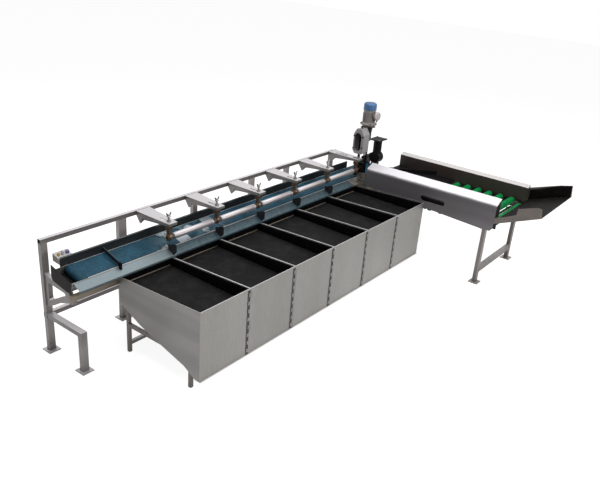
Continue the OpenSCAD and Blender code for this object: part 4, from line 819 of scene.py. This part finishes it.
def make_bin_linings():
    """Black foam on the tray, the front, the back and both sides of every bin."""
    walls, beds, trays = bmesh.new(), bmesh.new(), bmesh.new()
    low, high, tray, sheet = 1.0, BIN_DEPTH - 4.5, 1.4, 2.4
    for i in range(6):
        x1 = (32 if i == 0 else i * PITCH) + 3
        x2 = (i + 1) * PITCH - (3 if i == 5 else 0)

        def across(u):
            return x1 + 9.4 + (x2 - x1 - 18.8) * u

        def bed_at(u, v):
            y = 9.5 + (high - 19) * v
            return at(across(u), y, bed_z(y) + 0.6)

        def cross_wall(y, low_z, top):
            return lambda u, v: at(across(u), y, low_z + 12 + (top - low_z - 12) * v)

        def side_wall(x):
            def spot(u, v):
                y = low + (high - low) * u
                return at(x, y, bed_z(y) + 1.5 + (wall_top(y) - 15 - bed_z(y) - 1.5) * v)
            return spot

        sheets = ((beds, bed_at, Vector((0, -BED_SLOPE, 1)).normalized(), 14, 26, 0.0090, 0.04, 0.0018),
                  (walls, cross_wall(low, bed_z(0), 732), ACROSS, 14, 5, 0.0088, 0.04, 0.0012),
                  (walls, cross_wall(high, bed_z(high), 698), -ACROSS, 14, 4, 0.0088, 0.05, 0.0012),
                  (walls, side_wall(x1 + 0.3), ALONG, 24, 6, 0.0088, 0.04, 0.0012),
                  (walls, side_wall(x2 - 0.3), -ALONG, 24, 6, 0.0088, 0.04, 0.0012))
        for k, one in enumerate(sheets):
            foam_sheet(*one, seed=10 * i + k)
        add_box(trays, (x1 + 0.4, tray, bed_z(0) - 3), (x2 - 0.4, 2 * tray, bed_z(0) + 20))
        corners = ((tray, -sheet), (high, -sheet), (high, 0), (tray, 0))
        add_prism(trays, [(y, bed_z(y) + h) for y, h in corners], "x", x1 + 0.4, x2 - 0.4)
    # The bin floors' foam takes the lighter copy painted as top light
    for name, bm, finish in (("foam_walls", walls, "foam_black"), ("foam_beds", beds, "foam_floor")):
        piece = close_piece(name, bm, finish, "frame", stands_for=("bin_linings",), slot="foam", smooth=60)
    close_piece("bin_trays", trays, "bin_edge", "frame")


# Sizing line: screws, rollers and joints


def make_wing_screws():
    """Threaded stem, collar, boss and two ears of each adjusting screw."""
    turns, rows, z1, z2, pitch = 24, 6, 972, 1088, 8.0
    steps = int((z2 - z1) / pitch * rows)
    ear = [(4, 1096), (14, 1098), (22, 1105), (29, 1118), (31, 1127), (28, 1130), (22, 1129), (16, 1123), (9, 1113),
           (2, 1108)]
    for k in range(1, 6):
        x, bm, loops = PITCH * k, bmesh.new(), []
        for z in (z1 + (z2 - z1) * j / steps for j in range(steps + 1)):
            loops.append([])
            for a, (cos, sin) in enumerate(circle(turns)):
                crest = (0.5 - abs((z / pitch - a / turns) % 1.0 - 0.5)) * 4 - 0.5
                r = 8.6 + 1.3 * max(0.0, min(1.0, crest))
                loops[-1].append(bm.verts.new(at(x + r * cos, LINE_Y + r * sin, z)))
        skin(bm, loops)
        add_turned(bm, [(0, 0), (9.8, 0), (9.8, 6), (12.4, 8), (12.4, 21), (10, 25), (0, 27)], (x, LINE_Y, 1086), UP, 24)
        for s in (-1, 1):
            add_prism(bm, [(x + s * px, pz) for px, pz in ear], "y", LINE_Y - 4, LINE_Y + 4)
        add_turned(bm, [(0, 0), (17, 0), (19, 1.5), (19, 7), (15.5, 10), (0, 10)], (x, LINE_Y, 1089), UP, 24)
        soften_edges(close_piece(f"wing_screw_{k}_threaded", bm, "zinc_screw", f"screw_{k}",
                                 stands_for=(f"wing_screw_{k}",), slot="zinc"), 1.2)


def make_sizing_rollers():
    """Rollers as welded tubes: end caps let in, a bead round each cap."""
    half = [(0, 0), (13, 0), (17.5, 1.2), (18.5, 3.4), (20.5, 4), (22, 2.6), (25.5, 3.2), (28.2, 5.6), (29, 8.4),
            (29, 20), (28.55, 20.8), (28.55, 22), (29, 22.8)]
    length = PITCH - 96
    profile = half + [(29, length / 2)] + [(r, length - s) for r, s in reversed(half)]
    for k in range(1, 6):
        bm = bmesh.new()
        add_turned(bm, profile, (PITCH * k + 48, LINE_Y, LINE_Z), ALONG, 56)
        close_piece(f"roller_{k}_tube", bm, "roller_tube", "sizing_line", stands_for=(f"roller_{k}",),
                    slot="roller_steel", smooth=50)


def make_joint_details():
    """Clips, cross pins and grease nipples of the universal joints, the bearings' shields, and lock nuts."""
    line, hang, lock = bmesh.new(), bmesh.new(), bmesh.new()
    for x in range(PITCH, 7 * PITCH, PITCH):
        for s in ([1] if x < 6 * PITCH else []) + ([-1] if x > PITCH else []):
            clip = [(19.2, 0), (20.8, 0.8), (20.8, 4.2), (19.2, 5)]
            add_turned(line, clip, (x + s * 24 - 2.5, LINE_Y, LINE_Z), ALONG, 32, ring=True)
            for side in (-1, 1):
                add_turned(line, [(0, 0), (6.4, 0), (6.4, 2.2), (4.2, 3.4), (0, 3.4)],
                           (x + s * 37, LINE_Y + side * 17.2, LINE_Z), side * ACROSS, 16)
            add_turned(line, [(0, 0), (2.6, 0), (2.6, 4), (1.6, 5), (2.2, 7), (0, 8)],
                       (x + s * 40, LINE_Y, LINE_Z + 6.5), UP, 10)
            shield = [(13.6, 0), (17.2, 0), (17.6, 0.8), (15.4, 1.6), (13.6, 1.2)]
            add_turned(hang, shield, (x + s * 14, LINE_Y, LINE_Z), s * ALONG, 32, ring=True)
        add_turned(hang, [(0, 0), (4, 0), (4, 5), (2.4, 6.5), (3, 9), (0, 10)],
                   (x, LINE_Y - 31, LINE_Z + 6), Vector((0, -1, 0.1)), 12)
        if x < 6 * PITCH:
            nut = [(x + a, LINE_Y + b) for a, b in circle(6, 17, math.pi / 6)]
            add_prism(lock, nut, "z", 1002.3, 1008.4)
    close_piece("joint_clips", line, "joint_bright", "sizing_line")
    close_piece("bearing_shields", hang, "joint_iron", "carriage")
    soften_edges(close_piece("lock_nuts", lock, "zinc_screw", "carriage"), 1)


def make_hangers():
    """Hangers with eased edges, their bolts and the bearing units."""
    rounded_copy("hangers", "hanger_brown", "carriage", 2.0, slot="arm_paint")
    bolts = [(at(PITCH * i + s * 16, LINE_Y + side * 22, 985), side * ACROSS)
             for i in range(1, 7) for s in (-1, 1) for side in (-1, 1)]
    grow("hanger_bolts", "bolts", bolts, "joint_iron", "carriage", Across=0.011, Head=0.005, Washer=0.008, Thick=0.0012)
    rounded_copy("bearing_units", "bearing_bronze", "carriage", 0.8, smooth=50)


# Roller drive


def make_drive_chain():
    """Roller chain and its wheels of sixteen teeth: a quarter turn brings them to the same places in the chain."""
    grow_chain("drive_chain_links", ((LINE_Y, LINE_Z), (LINE_Y, UPPER_WHEEL_Z)), CHAIN_R, CHAIN_X, "carriage",
               ("drive_chain",), Links=72, Pitch=0.015685, Plate=0.0118, Wide=0.0135, Thick=0.0016, Roller=0.0044)
    teeth, flank, disc = 16, ((35.2, -0.125), (43.2, -0.037), (43.2, 0.037), (35.2, 0.125)), 3.5
    spots = [(r, 2 * math.pi * k / teeth + a) for k in range(teeth) for r, a in flank]
    for name, node, z, body, stub in (("lower_chain_wheel", "low_sprocket", LINE_Z, "sizing_line", 0),
                                      ("upper_chain_wheel", "top_sprocket", UPPER_WHEEL_Z, "upper_sprocket", 37.7)):
        bm, centre = bmesh.new(), (CHAIN_X, LINE_Y, z)
        skin(bm, [[bm.verts.new(at(CHAIN_X + x, LINE_Y + (inner or r) * math.cos(a), z + (inner or r) * math.sin(a)))
                   for r, a in spots] for x, inner in ((-disc, 0), (disc, 0), (disc, 20), (-disc, 20))], True)
        hub = [(12.6, -12), (20, -12), (21, -11), (21, 11), (20, 12), (12.6, 12)]
        add_turned(bm, hub, centre, ALONG, 32, ring=True)
        if stub:
            add_turned(bm, [(0, -13), (11.5, -13), (12.5, -12), (12.5, stub), (0, stub)], centre, ALONG, 32)
        close_piece(name, bm, "joint_iron", body, stands_for=(node,), slot="joint_steel", smooth=35)


def edge_at(points, t):
    """Where the ray at an angle t from the middle leaves the closed outline round it."""
    dy, dz = math.cos(t), math.sin(t)
    for (ay, az), (by, bz) in zip(points, points[1:] + points[:1]):
        side_a, side_b = dy * az - dz * ay, dy * bz - dz * by
        if side_a <= 0 < side_b or side_b <= 0 < side_a:
            share = side_a / (side_a - side_b)
            y, z = ay + (by - ay) * share, az + (bz - az) * share
            if y * dy + z * dz > 0:
                return y, z
    raise ValueError("the ray misses the outline")


def make_chain_guard():
    """Eight-sided pressed guard, open at the back and round the chain below, with a tall oval window."""
    low, top, wall, half, mid_y = GUARD_LOW, GUARD_TOP, 4, 70, 8
    mid_z, radius, straight, gap, step = (low + top) / 2 - 9, 46, 62, (-48, 40), 0.004
    outline = [(-half, low + 22), (22 - half, low), (half - 30, low), (half, low + 36), (half, top - 62),
               (half - 36, top), (40 - half, top), (-half, top - 68)]
    outline = [(y - mid_y, z - mid_z) for y, z in outline]
    window = [(y, z + (straight if z > 0 else -straight)) for y, z in circle(48, radius, math.pi / 48)]
    angles = [math.atan2(z, y) for y, z in outline] + [math.pi * k / 36 + 0.001 for k in range(72)]
    for y, turn in zip(gap, (step, -step)):
        angles += [math.atan2(low - mid_z, y - mid_y) + more for more in (0, turn)]
    bm, rings = bmesh.new(), [[] for _ in range(6)]
    for t in sorted({round(a % (2 * math.pi), 5) for a in angles}):
        (oy, oz), (wy, wz) = edge_at(outline, t), edge_at(window, t)
        reach = 1 - wall / math.hypot(oy, oz)
        iy, iz = oy * reach, oz * reach
        open_below = oz + mid_z < low + 0.5 and gap[0] - 0.01 < oy + mid_y < gap[1] + 0.01
        front, back = GUARD_FRONT, GUARD_FRONT + 30 if open_below else GUARD_BACK
        for ring, (x, y, z) in zip(rings, ((front, oy, oz), (back, oy, oz), (back, iy, iz), (front + wall, iy, iz),
                                           (front + wall, wy, wz), (front, wy, wz))):
            ring.append(bm.verts.new(at(x, LINE_Y + mid_y + y, mid_z + z)))
    skin(bm, rings, True)
    soften_edges(close_piece("chain_guard", bm, "cover_paint", "carriage", stands_for=("drive_cover",),
                             slot="cover_paint", smooth=25), 1.5)


def make_drive_motor():
    """Flanged motor body with cooling fins, round terminal box, gland, eye bolt and the drive's bolts."""
    mx, my, z0, zt = MOTOR_X, MOTOR_Y, GUARD_TOP, MOTOR_TOP - FAN_LEN
    bm, lid, top, eye_x, eye_y, eye_r = bmesh.new(), bmesh.new(), bmesh.new(), mx - 48, my + 48, 11
    add_turned(bm, [(0, 0), (62, 0), (66, 3), (88, 24), (98, 28), (99.5, 31), (99.5, 41), (97, 43), (82, 43),
                    (78, 46), (76, 58), (69, 62), (69, 168), (74, 172), (74, 179.6), (0, 179.6)], (mx, my, z0), UP, 56)
    way = Vector((math.cos(math.radians(-96)), math.sin(math.radians(-96)), 0))
    cz = zt - 34

    def out_from_box(s, drop=0):
        """Place at a distance s from the motor's middle along the terminal box."""
        return mx + way.x * s, my + way.y * s, cz - drop

    add_turned(bm, [(0, 0), (26, 0), (26, 44), (46, 52), (50, 57), (50, 74), (48, 79), (41, 82), (0, 83)],
               out_from_box(50), way, 48)
    add_turned(bm, [(0, 0), (10, 0), (11, 2), (11, 10), (8.5, 12), (8.5, 18), (6, 22), (0, 22)],
               out_from_box(116, 47), -UP, 16)
    loop = circle(16, eye_r, -math.pi / 2)
    add_rod(bm, [at(eye_x + a, eye_y, zt - 14 + b) for a, b in loop + loop[:1]], 3.4, 8)
    add_turned(bm, [(0, 0), (7, 0), (7, 5), (0, 5)], (eye_x, eye_y, zt - 32), UP, 12)
    soften_edges(close_piece("motor_housing", bm, "motor_grey", "carriage", stands_for=("drive_motor",),
                             slot="motor_paint", smooth=42), 0.8)
    fins = grow("motor_fins", "spokes", [at(mx, my, z0 + 113)], "motor_grey", "carriage", slot="motor_paint",
                Bars=28, Inner=0.066, Bar=(0.0105, 0.0030, 0.100))
    soften_edges(fins, 0.5, 1)
    add_turned(lid, [(0, 0), (51, 0), (51.6, 1), (51.6, 9), (49, 12), (39, 14.5), (0, 15.4)], out_from_box(118), way, 48)
    close_piece("terminal_lid", lid, "motor_pale", "carriage", slot="motor_paint", smooth=42)
    side = way.cross(UP)
    screws = [(at(*out_from_box(132)) + (side * a + UP * b) / 1000, way) for a, b in circle(4, 37, math.pi / 4)]
    grow("terminal_screws", "bolts", screws, "joint_iron", "carriage", Across=0.006, Head=0.0026, Washer=0.0042,
         Thick=0.0008)
    flange = [(at(mx + a, my + b, z0 + 42.6), UP) for a, b in circle(4, 90, math.pi / 4)]
    plate = [(at(GUARD_BACK + 8, y, z), ALONG) for y in (918, 1016) for z in (1120, 1250, 1386)]
    face = ((910, 1180), (910, 1310), (1030, 1160), (1030, 1310))
    cover = [(at(GUARD_FRONT - 0.4, y, z), -ALONG) for y, z in face]
    grow("drive_bolts", "bolts", flange + plate + cover, "joint_iron", "carriage", Across=0.013, Head=0.0065,
         Washer=0.011, Thick=0.0016)
    add_turned(top, [(0, 0), (11, 0), (11, 3), (7.5, 4), (7.5, 13), (10.5, 14.5), (10.5, 21), (7, 24), (0, 25)],
               (3650, 962, GUARD_TOP - 0.5), UP, 24)
    close_piece("guard_knob", top, "plate_black", "carriage")


def make_fan_cover():
    """Grey end shield and pressed blue fan cover: rounded shoulder, slotted crown, ring grille, side screws."""
    mx, my, z0 = MOTOR_X, MOTOR_Y, MOTOR_TOP - CAP_LEN
    shield, cap, rings, gap = bmesh.new(), bmesh.new(), bmesh.new(), FAN_LEN - CAP_LEN
    add_turned(shield, [(0, 0), (74, 0), (74, 4), (70, 6), (70, 16), (76, 19), (76, gap), (0, gap)],
               (mx, my, z0 - gap), UP, 56)
    close_piece("end_shield", shield, "motor_grey", "carriage", stands_for=("fan_cover",), slot="motor_paint", smooth=42)
    add_turned(cap, [(0, 0), (77, 0), (77.3, 1.5), (77.3, 56), (76.2, 64), (72.5, 72), (66, 77.6), (60, 80.2),
                     (56, 80.7), (56, 74), (22, 74), (22, 81), (18, 81.8), (0, 81.8)], (mx, my, z0), UP, 64)
    close_piece("fan_cap", cap, "fan_blue", "carriage", stands_for=("fan_cover",), slot="fan_blue", smooth=45)
    grow("fan_grille", "spokes", [at(mx, my, z0 + 78.4)], "fan_blue", "carriage", slot="fan_blue", Bars=30,
         Inner=0.020, Bar=(0.037, 0.0032, 0.0045))
    for r in (31, 40, 49):
        bar = [(r - 1.4, 77), (r + 1.4, 77), (r + 1.4, 80.8), (r - 1.4, 80.8)]
        add_turned(rings, bar, (mx, my, z0), UP, 48, ring=True)
    for z in (12, 42):
        bead = [(76.6, z), (78.2, z + 1.2), (78.2, z + 3.2), (76.6, z + 4.4)]
        add_turned(rings, bead, (mx, my, z0), UP, 64, ring=True)
    close_piece("fan_rings", rings, "fan_blue", "carriage", slot="fan_blue")
    screws = [(at(mx + 77.2 * a, my + 77.2 * b, z0 + 7), Vector((a, b, 0))) for a, b in circle(4, 1.0, math.pi / 4)]
    grow("fan_screws", "bolts", screws, "joint_iron", "carriage", Across=0.007, Head=0.003, Washer=0.006, Thick=0.001)


# Infeed: chains, green rollers, pads


def carrier_place(s):
    """Place (y, z) on the carrier loop at a share s of its length, from the tail forwards over the top."""
    run, bend = HEAD_Y - TAIL_Y, math.pi * LOOP_R
    d = s * 2 * (run + bend)
    if d < run:
        return TAIL_Y + d, LOOP_Z + LOOP_R
    if d < run + bend:
        t = (d - run) / LOOP_R
        return HEAD_Y + LOOP_R * math.sin(t), LOOP_Z + LOOP_R * math.cos(t)
    if d < 2 * run + bend:
        return HEAD_Y - (d - run - bend), LOOP_Z - LOOP_R
    t = (d - 2 * run - bend) / LOOP_R
    return TAIL_Y - LOOP_R * math.sin(t), LOOP_Z - LOOP_R * math.cos(t)


def make_carriers():
    """Thirteen green carrier rollers on two chains."""
    count, first_share, near, far = 13, 0.42, 3727, 4523
    seeds = [at((near + far) / 2, *carrier_place((k + first_share) / count)) for k in range(count)]
    grow("carrier_barrels", "barrels", seeds, "carrier_green", "frame", stands_for=("carrier_rollers",),
         slot="green_plastic", smooth=60, Radius=0.040, Length=0.764, Swell=0.007, Step=0.12733, Slices=96)
    for side, x, stands_for in (("near", near, ("carrier_chains",)), ("far", far, ())):
        grow_chain(f"carrier_chain_{side}", ((TAIL_Y, LOOP_Z), (HEAD_Y, LOOP_Z)), LOOP_R + 1, x, "frame", stands_for,
                   Links=96, Pitch=0.01898, Plate=0.0116, Wide=0.0115, Thick=0.0018, Roller=0.0048)


def hopper_z(y):
    return HOPPER_Z + (HOPPER_Y - y) * math.tan(HOPPER_SLOPE)


def make_hopper_pads():
    """Dark rubber pads on the hopper's floor and on its far wall."""
    bm = bmesh.new()
    x1, x2, y0, y1, wall_y, wall_end = 3607, 4593, -859, -1329, -858.5, -1315

    def floor_at(u, v):
        y = y0 + (y1 - y0) * v
        return at(x1 + (x2 - x1) * u, y, hopper_z(y) + 0.2)

    def wall_at(u, v):
        y = wall_y + (wall_end - wall_y) * u
        low = hopper_z(y) + 5
        high = float(np.interp(-y, [858, 1181, 1316], [909, hopper_z(-1181) + 142, hopper_z(-1330) + 124]))
        return at(x2 + 0.8, y, low + (high - low) * v)

    up = Vector((0, math.sin(HOPPER_SLOPE), math.cos(HOPPER_SLOPE)))
    foam_sheet(bm, floor_at, up, 20, 12, 0.0042, 0.03, 0.0004, seed=3)
    foam_sheet(bm, wall_at, -ALONG, 16, 8, 0.0058, 0.05, 0.0005, seed=4)
    piece = close_piece("hopper_lining", bm, "rubber_brown", "frame", stands_for=("hopper_pads",),
                        slot="black_rubber", smooth=60)


# Trough: take-up fittings, trays, bolts and welds


def make_take_up_fittings():
    """Brass fitting, white cap and violet knob on the take-up box."""
    first_x, step, y = -332, 42, 1235.46
    brass, white, violet = bmesh.new(), bmesh.new(), bmesh.new()
    x1, x2, x3 = (first_x + step * k for k in range(3))
    add_prism(brass, [(x1 + a, y + b) for a, b in circle(6, 13.5)], "z", 917, 929)
    add_turned(brass, [(0, 0), (11, 0), (11, 8), (8, 11), (8, 16), (0, 17)], (x1, y, 929), UP, 20)
    add_turned(white, [(0, 0), (14, 0), (14.5, 2), (14.5, 26), (13, 32), (9, 36), (0, 37.5)], (x2, y, 920), UP, 28)
    rim = [(x3 + a * r, y + b * r) for (a, b), r in zip(circle(24), (15.5, 16.7) * 12)]
    add_prism(violet, rim, "z", 924, 946)
    add_turned(violet, [(0, 0), (10.6, 0), (10.6, 6), (0, 6)], (x3, y, 918), UP, 20)
    soften_edges(close_piece("brass_fitting", brass, "brass_fitting", "frame"), 0.8)
    close_piece("white_cap", white, "cap_white", "frame")
    soften_edges(close_piece("violet_knob", violet, "knob_violet", "frame"), 1.0)


def make_trays():
    """Black drip tray under the tail drum, dark sheet behind the hand slot and skirt beside the last bin."""
    tail, loop, skirt = bmesh.new(), bmesh.new(), bmesh.new()
    corners = ((-388, -14), (-388, 208), (-268, 208), (-268, -14))
    skin(tail, [[tail.verts.new(on_belt(x, u, v)) for x, u in corners] for v in (-75, -78)])
    soften_edges(close_piece("tail_tray", tail, "plate_black", "frame"), 1.0)
    sheet = [(3690, 655), (3704.5, 655), (3704.5, 772), (3702.5, 772), (3702.5, 657), (3690, 657)]
    add_prism(loop, sheet, "y", -846, 640)
    close_piece("loop_guard", loop, "guard_dark", "frame")
    add_prism(skirt, [(3603.2, 694), (3606.2, 694), (3606.2, 772), (3603.2, 772)], "y", 655, 812)
    add_prism(skirt, [(3606, 694), (3618, 694), (3618, 697), (3606, 697)], "y", 655, 812)
    close_piece("chute_skirt", skirt, "rail_beige", "frame")


def make_frame_bolts():
    """Bolts of the belt drums' bearings, the arms and the two gearmotors."""
    both = (-1, 1)
    flange = [(on_belt(x + s * 29, u - way * 3.6, -38), Vector((0, way * BELT_COS, way * BELT_SIN)))
              for x, u, way in ((-285, -16, -1), (-285, 210, 1), (4134, -16, -1)) for s in both]
    grow("flange_bolts", "bolts", flange, "zinc_screw", "frame", Across=0.011, Head=0.006, Washer=0.0095, Thick=0.0015)
    arm = [(at(PITCH * i + dx, FRAME_Y - 0.1, 1018), -ACROSS) for i in range(1, 7) for dx in (-36, 84)]
    motor = [(at(4278 + sx * 84, 1085 + sy * 64, 1143.2), UP) for sx in both for sy in both]
    gear = [(at(4680.2, HEAD_Y + sy * 46, LOOP_Z + sz * 54), ALONG) for sy in both for sz in both]
    grow("frame_bolts", "bolts", arm + motor + gear, "zinc_screw", "frame", Across=0.013, Head=0.007, Washer=0.011,
         Thick=0.0016)


def make_weld_beads():
    """Beads where tubes and plates meet: posts on their feet, rails and arms on the frame."""
    places, edges = [], []
    y1, y2, foot, rail_low, rail_top = FRAME_Y, FRAME_Y + FRAME_W, 8, 334, 374

    def run(*corners, closed=False):
        start = len(places)
        places.extend(at(*c) for c in corners)
        edges.extend((start + k, start + k + 1) for k in range(len(corners) - 1))
        if closed:
            edges.append((start + len(corners) - 1, start))

    def round_foot(x1, x2, ya, yb):
        run((x1, ya, foot), (x2, ya, foot), (x2, yb, foot), (x1, yb, foot), closed=True)

    for x, w in ((-383, 60), (400, 86), (1294, 60), (2152, 60), (2753, 60), (3640, 60)):
        left, right = x - w / 2, x + w / 2
        round_foot(left, right, y1, y2)
        run((left, y1, 1005), (right, y1, 1005))
        for side in (left, right):
            run((side, y1, rail_low), (side, y1, rail_top), (side, y2, rail_top), (side, y2, rail_low))
        run((x - 20, y1, 745), (x + 20, y1, 745))
        for side in (x - 20, x + 20):
            run((side, y1, 452), (side, y1, 745))
    for x in (-383, 3640):
        left, right = x - 28.5, x + 28.5
        round_foot(left, right, 884, 930)
        run((left, 930, rail_low), (right, 930, rail_low))
        run((left, y1, rail_low), (left, y1, rail_top), (right, y1, rail_top), (right, y1, rail_low))
    for x in range(PITCH, 7 * PITCH, PITCH):
        run((x - 48, y1, 1045), (x + 110, y1, 1045))
    for y in (-772, 650):
        for x in (3603, 4537):
            round_foot(x, x + 60, y, y + 40)
        for x in (3663, 4537):
            run((x, y, 120), (x, y, 190), (x, y + 40, 190), (x, y + 40, 120))
    grow("weld_beads", "beads", places, "weld_grey", "frame", edges=edges, Step=0.0065, Bead=0.0036, Seed=11)


make_camera()
make_studio()
dress_nodes()
for make in (make_bin_seams, make_divider_caps, make_bin_linings, make_wing_screws, make_sizing_rollers,
             make_joint_details, make_hangers, make_drive_chain, make_chain_guard, make_drive_motor, make_fan_cover,
             make_carriers, make_hopper_pads, make_take_up_fittings, make_trays, make_frame_bolts, make_weld_beads):
    make()
